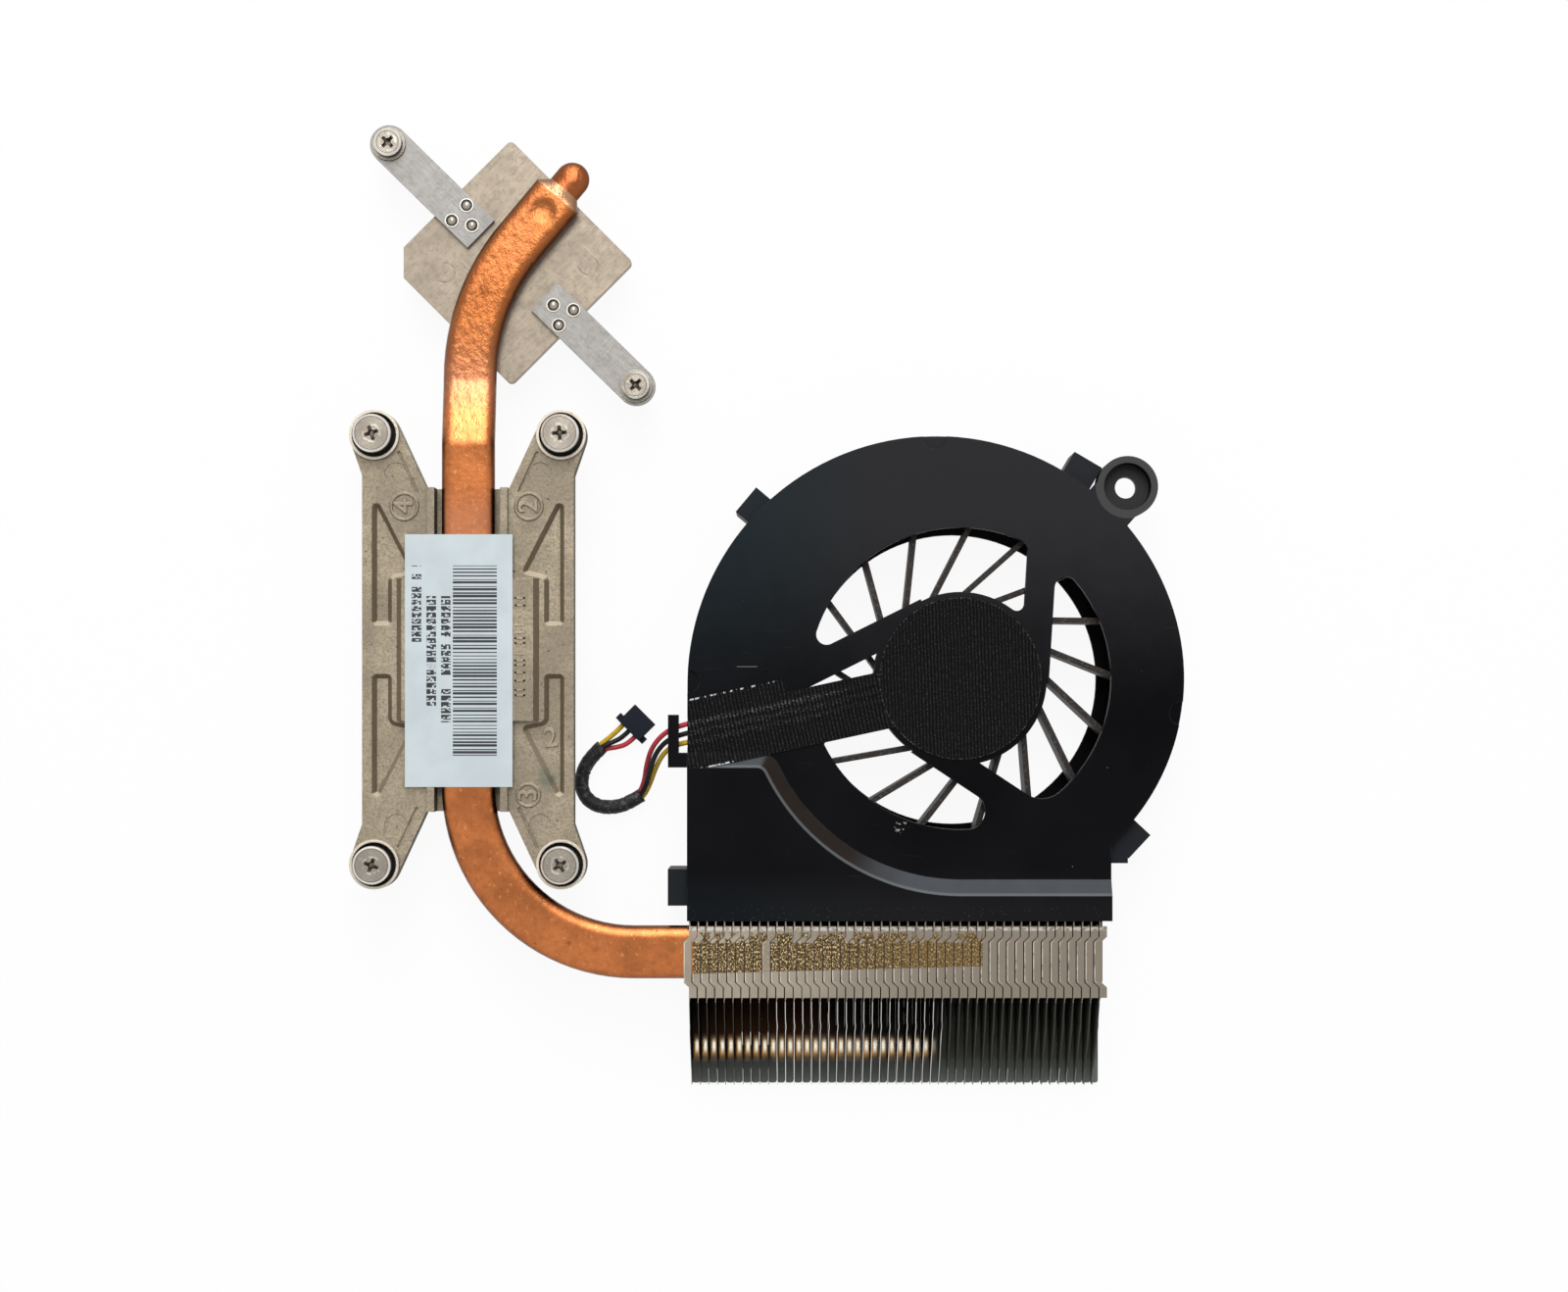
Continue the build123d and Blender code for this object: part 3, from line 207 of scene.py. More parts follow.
# Lead: where it leaves the left wall, and the middle of its route from there, with the half spread of
# the wires and the lift of the middle one. Metres, but for the wires under the tape, in millimetres.
LEAD_TURN = math.radians(192.2)
LEAD_MIDDLE = 0.66
WIRE_GAP = 1.34
LEAD_EXIT = Vector((0.031723, -0.012008, 0.0))
ROUTE = (
    (0.00288, 0.00062, 0.00331, 0.00134, 0.00000),
    (-0.00042, -0.00009, 0.00329, 0.00132, 0.00000),
    (-0.00272, -0.00089, 0.00270, 0.00115, 0.00010),
    (-0.00452, -0.00259, 0.00100, 0.00095, 0.00030),
    (-0.00562, -0.00499, -0.00190, 0.00070, 0.00055),
    (-0.00627, -0.00729, -0.00430, 0.00046, 0.00070),
    (-0.00722, -0.00929, -0.00530, 0.00040, 0.00070),
    (-0.00912, -0.01049, -0.00538, 0.00040, 0.00070),
    (-0.01142, -0.01114, -0.00540, 0.00040, 0.00070),
    (-0.01372, -0.01094, -0.00540, 0.00040, 0.00070),
    (-0.01542, -0.00979, -0.00540, 0.00040, 0.00070),
    (-0.01622, -0.00789, -0.00540, 0.00040, 0.00070),
    (-0.01587, -0.00559, -0.00540, 0.00040, 0.00070),
    (-0.01462, -0.00359, -0.00540, 0.00040, 0.00070),
    (-0.01302, -0.00209, -0.00540, 0.00042, 0.00070),
    (-0.01122, -0.00134, -0.00545, 0.00095, 0.00035),
    (-0.01002, -0.00071, -0.00550, 0.00125, 0.00000),
    (-0.00908, 0.00023, -0.00550, 0.00125, 0.00000),
)
SLEEVE_FROM = 6
SLEEVE_TO = 14
WIRE_SIDES = {"red": -1, "black": 0, "yellow": 1}


def linear(*shades):
    """Linear colour from display shades of 0 to 255."""
    return tuple(
        shade / 255 / 12.92 if shade <= 10 else ((shade / 255 + 0.055) / 1.055) ** 2.4 for shade in shades
    )


def tint(shade, factor):
    """A lighter or darker shade of a colour."""
    return tuple(min(1.0, part * factor) for part in shade)


def colour(name, description, *shades):
    """A colour setting."""
    return FloatVectorProperty(
        name=name, description=description, subtype="COLOR", size=3, min=0, max=1, default=linear(*shades)
    )


def length(name, description, default):
    """A length setting."""
    return FloatProperty(
        name=name, description=description, unit="LENGTH", precision=5, min=0, default=default
    )


class CoolingColours(bpy.types.PropertyGroup):
    """Colours of the module's finishes."""

    plastic: colour("Fan plastic", "Moulded housing and cover", 11, 11, 13)
    dust: colour("Dust", "Specks on the dark pieces", 150, 148, 142)
    blades: colour("Blades", "Impeller", 36, 30, 27)
    cloth: colour("Cloth tape", "Tape on the hub and over the leads", 13, 13, 14)
    copper: colour("Copper", "Heat pipe and contact plate", 184, 110, 64)
    # Its darker tint also paints shade on the copper's flanks.
    tarnish_and_shade: colour("Tarnish", "Dark patches on the copper", 96, 46, 28)
    cast: colour("Cast alloy", "Processor bracket", 153, 141, 121)
    plate: colour("Plated sheet", "Graphics plate", 152, 140, 124)
    leaf: colour("Leaf steel", "Leaf arms", 144, 141, 137)
    nickel: colour("Nickel", "Screws, rivets and rings", 146, 138, 127)
    fin: colour("Fin sheet", "Folded fins", 172, 161, 145)
    flux: colour("Flux", "Brown residue over the pipe", 122, 96, 56)
    # Painted shade on the fins' plates below the flanges.
    fin_shade: colour("Fin_plate_shade", "Dark lower part of the fins", 62, 59, 54)
    paper: colour("Label", "Paper label", 213, 224, 228)
    ink: colour("Ink", "Bars and lines on the label", 22, 22, 26)
    red: colour("Red wire", "First wire of the lead", 196, 62, 76)
    black: colour("Black wire", "Second wire of the lead", 16, 16, 17)
    yellow: colour("Yellow wire", "Third wire of the lead", 214, 176, 44)
    sleeve: colour("Sleeve", "Tube round the lead", 27, 27, 29)
    plug: colour("Plug", "Plug housing", 30, 33, 40)
    floor: colour("Floor", "Table under the module", 255, 255, 255)


class CoolingSizes(bpy.types.PropertyGroup):
    """Sizes of the pieces that are added round the solids, and strengths of the light."""

    wire: length("Wire", "Diameter of each wire", 0.00075)
    sleeve: length("Sleeve", "Outer diameter of the sleeve", 0.0021)
    pitch: length("Thread pitch", "Rise of one turn of a screw's thread", 0.00045)
    spring: length("Spring wire", "Diameter of the wire of the screws' springs", 0.00042)
    ridge: length("Thread ridge", "Thickness of the thread's ridge", 0.00016)
    numeral: length("Numeral", "Height of the cast numerals", 0.0029)
    relief: length("Relief", "How far the numerals stand out", 0.00022)
    lamp: FloatProperty(name="Lamp", description="Power of the tall light", unit="POWER", default=8.0, min=0)
    fill: FloatProperty(name="Fill", description="Strength of the light from all round", default=0.40, min=0)


class Signal:
    """A socket of a finish, on which Python's operators add Math nodes."""

    def __init__(self, finish, socket):
        self.finish = finish
        self.socket = socket

    def out(self, name):
        """Another output of the same node."""
        return Signal(self.finish, self.socket.node.outputs[name])

    def apply(self, operation, first, second=0.0):
        return self.finish.node("ShaderNodeMath", {"operation": operation}, {0: first, 1: second})

    def __add__(self, other):
        return self.apply("ADD", self, other)

    def __radd__(self, other):
        return self.apply("ADD", other, self)

    def __sub__(self, other):
        return self.apply("SUBTRACT", self, other)

    def __rsub__(self, other):
        return self.apply("SUBTRACT", other, self)

    def __mul__(self, other):
        return self.apply("MULTIPLY", self, other)

    def __rmul__(self, other):
        return self.apply("MULTIPLY", other, self)

    def __truediv__(self, other):
        return self.apply("DIVIDE", self, other)

    def __rtruediv__(self, other):
        return self.apply("DIVIDE", other, self)

    def __abs__(self):
        return self.apply("ABSOLUTE", self)

    def floor(self):
        return self.apply("FLOOR", self)

    def fraction(self):
        return self.apply("FRACT", self)

    def either(self, other):
        """The larger of two signals."""
        return self.apply("MAXIMUM", self, other)

    def ripple(self, gap):
        """Waves from 0 to 1, a gap apart."""
        return self.apply("SINE", self * (math.tau / gap)) * 0.5 + 0.5

    def ease(self, start, end):
        """0 before start and 1 after end, with soft ends."""
        return self.finish.node(
            "ShaderNodeMapRange",
            {"interpolation_type": "SMOOTHSTEP"},
            {"Value": self, "From Min": start, "From Max": end},
        )

    def band(self, low, high, soft):
        """1 between two places, with soft edges."""
        return self.ease(low - soft, low + soft) * self.ease(high + soft, high - soft)


class Finish:
    """A material whose nodes are added from Python."""

    def __init__(self, name):
        self.material = bpy.data.materials.new(name)
        self.material.use_nodes = True
        self.tree = self.material.node_tree
        self.shader = self.tree.nodes["Principled BSDF"]
        self.rounded = {}

    def feed(self, socket, value):
        """Link a signal to a socket, or set its number or colour."""
        if isinstance(value, Signal):
            self.tree.links.new(value.socket, socket)
        elif socket.type == "RGBA":
            socket.default_value = (*value, 1.0)
        else:
            socket.default_value = value

    def node(self, kind, settings=None, sockets=None, output=0):
        """Add any node: its settings first, then the values or links of its sockets."""
        made = self.tree.nodes.new(kind)
        for name, value in (settings or {}).items():
            setattr(made, name, value)
        for name, value in (sockets or {}).items():
            self.feed(made.inputs[name], value)
        return Signal(self, made.outputs[output])

    def vector(self, operation, first, second=(0, 0, 0), output=0):
        return self.node("ShaderNodeVectorMath", {"operation": operation}, {0: first, 1: second}, output)

    @cached_property
    def at(self):
        """Place on the module, in millimetres."""
        spot = self.node("ShaderNodeTexCoord", output="Object")
        return self.vector("MULTIPLY", spot, (1 / MM, 1 / MM, 1 / MM))

    def turn(self, angle, centre=(0, 0, 0)):
        """Place about a centre, with X along a direction."""
        return self.node(
            "ShaderNodeVectorRotate",
            {"rotation_type": "Z_AXIS"},
            {"Vector": self.vector("SUBTRACT", self.at, centre), "Angle": -angle},
        )

    def split(self, vector=None):
        """The three parts of a vector, or of the place where none is given."""
        parts = self.node("ShaderNodeSeparateXYZ", None, {0: vector or self.at})
        return parts, parts.out("Y"), parts.out("Z")

    def reach(self, x, y, at=None):
        """Distance from an upright axis."""
        level = self.vector("MULTIPLY", at or self.at, (1, 1, 0))
        return self.vector("DISTANCE", level, (x, y, 0), output=1)

    def facing(self, way=2):
        """How far the surface faces along an axis: up, where none is given."""
        return self.split(self.node("ShaderNodeNewGeometry", output="Normal"))[way]

    def edges(self, radius):
        """1 along sharp edges, within a radius of them."""
        flat = self.node("ShaderNodeNewGeometry", output="True Normal")
        return self.vector("DOT_PRODUCT", self.bevel(radius), flat, output=1).ease(0.97, 0.80)

    def noise(self, scale, detail=2.0, rough=0.5, by=None, at=None):
        """Cloudy noise at a place, whose axes are stretched by three factors where they are given."""
        at = at or self.at
        if by:
            at = self.vector("MULTIPLY", at, by)
        return self.node(
            "ShaderNodeTexNoise", None, {"Vector": at, "Scale": scale, "Detail": detail, "Roughness": rough}
        )

    def random(self, value):
        return self.node("ShaderNodeTexWhiteNoise", {"noise_dimensions": "1D"}, {"W": value})

    def specks(self, scale, radius, share):
        """Round specks in a share of the cells."""
        cells = self.node("ShaderNodeTexVoronoi", None, {"Vector": self.at, "Scale": scale})
        chosen = self.split(cells.out("Color"))[0]
        return cells.ease(radius, radius * 0.5) * chosen.ease(1 - share, 1 - share + 0.01)

    def mix(self, factor, first, second):
        return self.node(
            "ShaderNodeMix", {"data_type": "RGBA"}, {"Factor": factor, 6: first, 7: second}, output=2
        )

    def layers(self, body, *coats):
        """A colour under coats, each a share and a colour."""
        for share, coat in coats:
            body = self.mix(share, body, coat)
        return body

    def over(self, *coats):
        """Lay coats over the base colour."""
        socket = self.shader.inputs["Base Color"]
        before = Signal(self, socket.links[0].from_socket)
        self.feed(socket, self.layers(before, *coats))

    def bevel(self, radius):
        """Normal rounded off over a radius, with one node for each radius."""
        if radius not in self.rounded:
            self.rounded[radius] = self.node("ShaderNodeBevel", {"samples": 2}, {"Radius": radius})
        return self.rounded[radius]

    def bump(self, height, distance, strength=1.0, normal=None):
        """Relief of a given depth in metres."""
        sockets = {"Height": height, "Distance": distance, "Strength": strength}
        if normal is not None:
            sockets["Normal"] = normal
        return self.node("ShaderNodeBump", None, sockets)

    def surface(self, **values):
        """Feed the shader, by its sockets' names with underscores."""
        for name, value in values.items():
            self.feed(self.shader.inputs[name.replace("_", " ").title().replace("Ior", "IOR")], value)
        return self.material


class Room(Finish):
    """The world's nodes, added as a finish's are."""

    def __init__(self, world):
        self.tree = world.node_tree


def moulded(name, shade, dust):
    """Satin plastic: fine spark grain, a cloudy painted sheen, a few hairlines and dust."""
    finish = Finish(name)
    cloud = finish.noise(0.05, 3).ease(0.3, 0.7)
    grain = finish.noise(4.0, 3, 0.7)
    hair = finish.noise(0.8, 3, by=(0.10, 3.0, 1.0)).ease(0.72, 0.76)
    specks = finish.specks(0.4, 0.045, 0.10).either(finish.specks(1.6, 0.06, 0.02) * 0.5)
    red, green, blue = shade
    # The broad cloud is a painted sheen: paler patches against darker bluish ones.
    body = finish.layers(
        finish.mix(cloud, (red * 0.5, green * 0.5, blue * 0.55), tint(shade, 1.7)),
        (grain * 0.35, tint(shade, 2.2)),
        (hair * 0.05, dust),
        (specks * 0.5, dust),
    )
    finish.surface(
        base_color=body,
        roughness=0.34 + 0.10 * cloud + 0.08 * grain + 0.25 * specks,
        specular_ior_level=0.03,
        normal=finish.bump(grain * 0.7 + hair * 0.2, 0.00003, 0.5, finish.bevel(0.00022)),
    )
    return finish


def fan_plastic(shade, dust):
    """The fan's plastic: painted sheen on flats and lug tops, painted light and shade on the ramp, painted
    highlights along its top edge and the rims, dust at the mouth, one long scratch and a few crumbs.
    """
    finish = moulded("fan_plastic", shade, dust)
    x, y, z = finish.split()
    up = finish.facing()
    flat = up.ease(0.8, 0.95)
    cloud = finish.noise(0.35, 3)
    # Painted sheen: up-facing flats paler towards the top and bluish at the left, a little paler near the
    # mouth.
    glow = finish.mix(x.ease(62, 36), linear(46, 46, 48), linear(35, 44, 48))
    sheen = (y + 7 * cloud).ease(-7, 27).either(y.ease(-31, -38) * 0.3)
    # The ramp is painted lit where it faces the lamp and in shade elsewhere, with a painted highlight along
    # its top.
    slope = up.band(0.82, 0.93, 0.03)
    lit = finish.facing(1).ease(0.41, 0.485)
    # Painted highlights along the rims' edges.
    rims = finish.edges(0.00022) * z.ease(2.4, 3.4) * cloud.ease(0.36, 0.6)
    ear = finish.reach(*EAR_AT)
    ring = ear.band(*EAR_RING, 0.05) * z.ease(3.9, 4.1) + ear.ease(3.4, 3.3) * 0.4
    mouth = finish.specks(3.0, 0.24, 0.35) * y.band(*MOUTH_Y, 0.5) * cloud.ease(0.3, 0.7)
    scratch = x.band(*SCRATCH_X, 0.2) * (y + 0.05 * finish.noise(2, 2)).band(*SCRATCH_Y, 0.03)
    crumbs = finish.noise(1.9, 3).ease(0.55, 0.61) * finish.reach(*CRUMBS_AT).ease(1.2, 0.6)
    finish.over(
        (sheen * flat, glow),
        (slope * (0.75 + 0.25 * cloud), finish.mix(lit, linear(46, 40, 36), linear(84, 88, 92))),
        (slope * z.band(*RAMP_TOP, 0.06) * 0.5, linear(126, 130, 132)),
        # Painted sheen on the up-facing lug tops.
        (z.band(*LUG_TOP, 0.1) * flat * 0.8, linear(42, 45, 49)),
        (rims * 0.5, linear(96, 99, 102)),
        (ring * 0.85, linear(78, 78, 79)),
        (mouth * 0.35, dust),
        ((scratch * 0.6).either(crumbs * 0.9) * flat, tint(dust, 1.4)),
    )
    return finish.material


def blade_plastic(shade, dust):
    """Brown-grey impeller plastic: painted shade on the sides, painted highlights along the edges, dust
    along the blades.
    """
    finish = Finish("impeller_plastic")
    cloud = finish.noise(0.5, 4)
    streak = finish.noise(1.4, 3, by=(1.0, 1.0, 0.3)).ease(0.45, 0.6)
    body = finish.layers(
        finish.mix(cloud, tint(shade, 0.7), tint(shade, 1.25)),
        (finish.noise(2.2, 4).ease(0.5, 0.75) * 0.22, dust),
        # Painted highlights along the blades' edges.
        (finish.edges(0.00025) * (0.25 + 0.75 * streak), linear(112, 94, 82)),
    )
    return finish.surface(
        # Surfaces that do not face up are painted darker, as painted shade on the blades' sides.
        base_color=finish.mix(finish.facing().ease(0.4, 0.7), tint(shade, 0.55), body),
        roughness=0.45 + 0.2 * cloud,
        specular_ior_level=0.25,
        normal=finish.bump(finish.noise(6, 2), 0.00003, 0.6, finish.bevel(0.00025)),
    )


def cloth_tape(name, shade, turn, ribs, ridges, edges):
    """Woven black tape: ribs with painted shade in troughs and highlights on crests, finer threads along it,
    ridges over the wires with painted glints, and painted glints along its edges.
    """
    finish = Finish(name)
    along, across, _ = finish.split(finish.turn(turn, (FAN_X, FAN_Y, 0)))
    drift = finish.noise(0.35, 2)
    weave = (along + drift * 0.25).ripple(ribs) * (0.6 + 0.4 * across.ripple(TAPE_THREAD))
    fibre = finish.noise(3.2, 3, 0.7)
    # Painted shade in the troughs between ribs and painted highlights on their crests.
    body = finish.layers(
        finish.mix(weave, tint(shade, 0.25), tint(shade, 2.6)),
        (weave * fibre.ease(0.48, 0.68) * 0.4, linear(96, 97, 94)),
    )
    relief = weave * 0.4
    for ridge, crest_glint in ridges:
        crest = abs(across + ridge - 0.5 * drift).ease(0.62, 0.0)
        relief = relief + crest * 0.6
        # A painted glint along the crest over each wire.
        wear_and_glint = crest * weave * fibre.ease(0.45, 0.62) * along.ease(15, 22)
        body = finish.mix(wear_and_glint * crest_glint, body, linear(150, 152, 150))
    for edge, start, end, share in edges:
        # Painted glints along the tape's edges.
        edge_glint = abs(across - edge).ease(0.16, 0.05) * along.band(start, end, 0.1)
        edge_glint = edge_glint * finish.noise(1.5, 2, by=(1.6, 0.3, 1)).ease(0.66 - share, 0.70 - share)
        body = finish.mix(edge_glint * 0.9, body, linear(228, 229, 231))
    rim = finish.reach(FAN_X, FAN_Y).band(*TAPE_RIM, 0.04) * fibre.ease(0.47, 0.66)
    return finish.surface(
        base_color=finish.mix(rim * 0.35, body, linear(140, 140, 128)),
        roughness=0.6 - 0.2 * weave,
        specular_ior_level=0.05,
        normal=finish.bump(relief, 0.0002, 0.8),
    )


def bare_copper(name, shade, tarnish_and_shade):
    """Drawn copper: mottled flats, painted shade on the flanks and among the fins, brown clouds and pits, a
    painted highlight across the neck and a redder tip.
    """
    finish = Finish(name)
    x, y, _ = finish.split()
    mottle = finish.noise(1.1, 5, 0.7)
    flecks = finish.noise(1.7, 3, 0.6, by=(1.0, 0.7, 1.0)).ease(0.60, 0.72)
    pits = finish.specks(0.8, 0.14, 0.25).either(finish.specks(0.33, 0.13, 0.2))
    dull = y.band(*DULL_BELOW, 3).either(y.band(*DULL_ABOVE, 3))
    ahead = finish.split(finish.turn(NECK_TURN, (*NECK_AT, 0)))[0]
    end = y.ease(60, 62)
    tip = ahead.ease(1.0, 1.5) * end
    # A painted highlight across the neck.
    neck = (ahead + 0.4 * mottle).band(*NECK_LEN, 0.15) * end
    shorter = finish.vector("MULTIPLY", finish.at, (1, 0.7, 1))
    spot = (finish.reach(*SPOT_AT, at=shorter) + mottle * 0.5).ease(1.15, 0.95)
    # The rounded flanks get painted shade, a darker tint of the patches' colour.
    rounded = finish.bevel(0.0009)
    flanks = finish.split(rounded)[2].ease(0.97, 0.40)
    # Among the fins the pipe is painted near black, as painted shade.
    inside = x.ease(*AMONG_FINS)
    body = finish.layers(
        finish.mix(finish.noise(0.16, 5, 0.6).ease(0.35, 0.7), tint(shade, 1.16), tint(shade, 0.76)),
        (mottle.ease(0.42, 0.72) * 0.55, tint(shade, 0.58)),
        (flecks * 0.4, linear(236, 166, 116)),
        (dull * 0.32, linear(172, 124, 102)),
        (tip * 0.55, linear(142, 66, 38)),
        (neck * 0.75, linear(255, 214, 170)),
        ((pits * 0.6).either(spot * 0.7), tarnish_and_shade),
        (y.ease(*HOOK_Y) * 0.62, tint(shade, 0.45)),
        (flanks * 0.75, tint(tarnish_and_shade, 0.6)),
        (inside * 0.95, linear(18, 14, 12)),
    )
    slope = y.ease(*STEP_Y) * finish.facing().ease(0.995, 0.985)
    hammered = 0.3 + 0.55 * y.ease(26, 36)
    creases = finish.noise(1.0, 4, 0.6, by=(1.2, 0.8, 1.0))
    relief = creases * (hammered + 0.3 * slope) + 0.08 * mottle
    return finish.surface(
        base_color=body,
        metallic=1 - 0.9 * inside,
        roughness=0.16 + 0.10 * mottle + 0.25 * pits - 0.09 * slope,
        normal=finish.bump(relief, 0.00011, 0.8, rounded),
    )


def cast_metal(name, shade):
    """Plated casting: sandy grain, painted light and shade on the walls, painted highlights on edges and cup
    rims, painted shade in the cups, pits and one green spot.
    """
    finish = Finish(name)
    z = finish.split()[2]
    up = finish.facing()
    lit = finish.facing(1).ease(0.25, 0.55)
    sand = finish.noise(2.6, 5, 0.75)
    # Walls are painted lit where they face the lamp and in shade elsewhere; steep walls get more painted
    # shade.
    walls = up.ease(0.97, 0.78)
    steep = up.ease(0.5, 0.2)
    pits = finish.specks(0.6, 0.12, 0.30).either(finish.specks(1.3, 0.16, 0.22))
    bloom = (finish.reach(*BLOOM_AT) + finish.noise(0.9, 4) * 2.6).ease(3.3, 1.6)
    # Painted shade inside the cups and a painted highlight on their rims.
    cup = finish.reach(*CUP_AT, at=finish.vector("ABSOLUTE", finish.at))
    inside = cup.ease(3.24, 3.14) * z.ease(4.15, 4.05)
    rim = cup.band(*CUP_RIM, 0.04) * z.ease(4.1, 4.18)
    body = finish.layers(
        finish.mix(finish.noise(0.13, 3).ease(0.35, 0.65), tint(shade, 1.17), tint(shade, 0.80)),
        (sand.ease(0.44, 0.60) * 0.55, tint(shade, 0.52)),
        # Painted highlights along sharp edges.
        (sand.ease(0.58, 0.46) * finish.edges(0.00022) * 0.6, linear(226, 215, 195)),
        (walls * 0.75, finish.mix(lit, linear(112, 97, 77), linear(226, 213, 190))),
        (steep * (0.8 - 0.6 * lit), linear(62, 52, 41)),
        (pits * 0.65, tint(shade, 0.2)),
        (bloom * 0.6, linear(84, 98, 84)),
        (rim * 0.8, linear(226, 216, 200)),
        (inside, linear(16, 12, 10)),
    )
    relief = sand * 0.8 + 0.6 * finish.noise(0.8, 2) - pits * 0.8
    return finish.surface(
        base_color=body,
        metallic=0.7 - 0.6 * steep.either(inside),
        roughness=0.44 + 0.16 * sand + 0.2 * walls,
        normal=finish.bump(relief, 0.00008, 1.0, finish.bevel(0.00022)),
    )


def plated_sheet(name, shade, turn, stain, rim):
    """Plated sheet metal: grain along one way, mottled stains, fine scratches, and painted edges: a
    highlight where rim is above 1, shade where below.
    """
    finish = Finish(name)
    lain = finish.turn(turn)
    grain = finish.noise(1.4, 4, 0.65, by=(0.35, 3.0, 1.0), at=lain)
    scratch = finish.noise(1.0, 3, by=(3.5, 0.16, 1.0), at=lain).ease(0.66, 0.72)
    rub = finish.noise(1.1, 3, by=(0.2, 2.6, 1.0)).ease(0.66, 0.74)
    rings = [finish.reach(*centre).band(*STAMP_RING, 0.1) for centre in STAMPED]
    stamped = sum(rings) * finish.noise(0.5, 2).ease(0.40, 0.55)
    body = finish.layers(
        finish.mix(finish.noise(0.22, 6, 0.7).ease(0.35, 0.68), tint(shade, 1.08), tint(shade, stain)),
        (grain.ease(0.35, 0.65) * 0.4, tint(shade, 0.72)),
        (finish.noise(1.1, 4, 0.7).ease(0.48, 0.62) * 0.4, tint(shade, stain * 0.66)),
        ((scratch * 0.3).either(rub * 0.25), tint(shade, 1.3)),
        # Painted edges: a highlight where rim is above 1, shade where it is below.
        (finish.edges(0.00014) * 0.5, tint(shade, rim)),
        (finish.specks(0.7, 0.07, 0.12) * 0.5, tint(shade, 0.25)),
        (stamped * 0.3, tint(shade, 0.5)),
    )
    return finish.surface(
        base_color=body,
        metallic=0.75,
        roughness=0.4 + 0.15 * grain - 0.1 * scratch,
        normal=finish.bump(grain * 0.5 - scratch * 0.4 - stamped, 0.00003, 0.7, finish.bevel(0.00014)),
    )


def turned_nickel(name, shade, centre, face, recess, top):
    """Screw: turning rings on the face, painted highlights on the chamfer and round the recess, painted
    shade in the groove, on the sides and in the cross recess.
    """
    finish = Finish(name)
    z = finish.split()[2]
    radius = finish.reach(*centre)
    rings = radius.ripple(TURNING_GAP)
    wear = finish.noise(1.6, 4)
    # Painted shade on the head's sides.
    sides = finish.facing().ease(0.5, 0.2) * z.ease(top - 2.2, top - 2.0)
    deep = z.ease(top - 0.03, top - 0.12) * radius.ease(recess + 0.1, recess - 0.1)
    # A painted highlight on the chamfer and round the recess, and painted shade in the groove.
    edge = radius.band(face, face + 0.33, 0.03) * z.ease(top - 0.4, top - 0.3)
    groove = radius.band(face - 0.16, face - 0.02, 0.03) * z.ease(top - 0.05, top - 0.02)
    lip = radius.band(recess - 0.05, recess + 0.3, 0.1) * wear.ease(0.45, 0.6)
    # Painted shade in the cross recess, mottled by the wear noise.
    recess_shade = finish.mix(wear.ease(0.40, 0.62), linear(30, 24, 19), linear(132, 122, 108))
    body = finish.layers(
        finish.mix(wear, tint(shade, 1.2), tint(shade, 0.62)),
        (rings * 0.16, tint(shade, 0.5)),
        (wear.ease(0.52, 0.7) * 0.35, tint(shade, 1.7)),
        (groove * 0.55, tint(shade, 0.25)),
        (lip * 0.35, linear(226, 222, 214)),
        (edge * 0.85, linear(238, 234, 226)),
        ((deep * 0.85).either(sides * 0.9), finish.mix(sides, recess_shade, linear(30, 24, 20))),
    )
    return finish.surface(
        base_color=body,
        metallic=0.9,
        roughness=0.26 + 0.2 * wear + 0.2 * deep,
        normal=finish.bump(rings * 0.3 + wear * 0.7, 0.00004, 0.7, finish.bevel(0.0001)),
    )


def rivet_metal(shade, base):
    """Rivet heads: a painted highlight on the flat rim, painted shade in the groove at the foot, and a grey
    dome painted lit on top and in shade at its sides.
    """
    finish = Finish("rivet_metal")
    z = finish.split()[2]
    wear = finish.noise(1.8, 4)
    up = finish.facing()
    wear_and_glint = finish.mix(wear, tint(shade, 1.25), tint(shade, 0.8))
    # The dome is painted lit on top and in shade at its sides.
    dome = finish.mix(up.ease(0.66, 0.86), tint(shade, 0.35), tint(shade, 1.35))
    body = finish.layers(
        # Flat rims get a painted highlight; the band at the foot is painted shade.
        finish.mix(up.ease(0.98, 0.90), linear(184, 180, 172), wear_and_glint),
        (z.ease(base + 0.16, base + 0.22) * 0.9, dome),
        (z.band(base - 0.10, base + 0.09, 0.03), linear(40, 36, 32)),
    )
    return finish.surface(
        base_color=body,
        metallic=0.85,
        roughness=0.22 + 0.15 * wear,
        normal=finish.bump(wear, 0.00002, 0.6),
    )


def plain_metal(name, shade, rough, metallic=0.9):
    """Small bright or dull pieces, lightly mottled."""
    finish = Finish(name)
    wear = finish.noise(1.8, 4)
    return finish.surface(
        base_color=finish.mix(wear, tint(shade, 1.1), tint(shade, 0.65)),
        metallic=metallic,
        roughness=rough + 0.15 * wear,
        normal=finish.bump(wear, 0.00002, 0.6, finish.bevel(0.00008)),
    )


def banded_metal(name, gap, dark, pale, rough, depth):
    """Metal in fine level bands: the turns of a winding or the sheets of a core."""
    finish = Finish(name)
    bands = finish.split()[2].ripple(gap)
    return finish.surface(
        base_color=finish.mix(bands, dark, pale),
        metallic=0.8,
        roughness=rough,
        normal=finish.bump(bands, depth),
    )


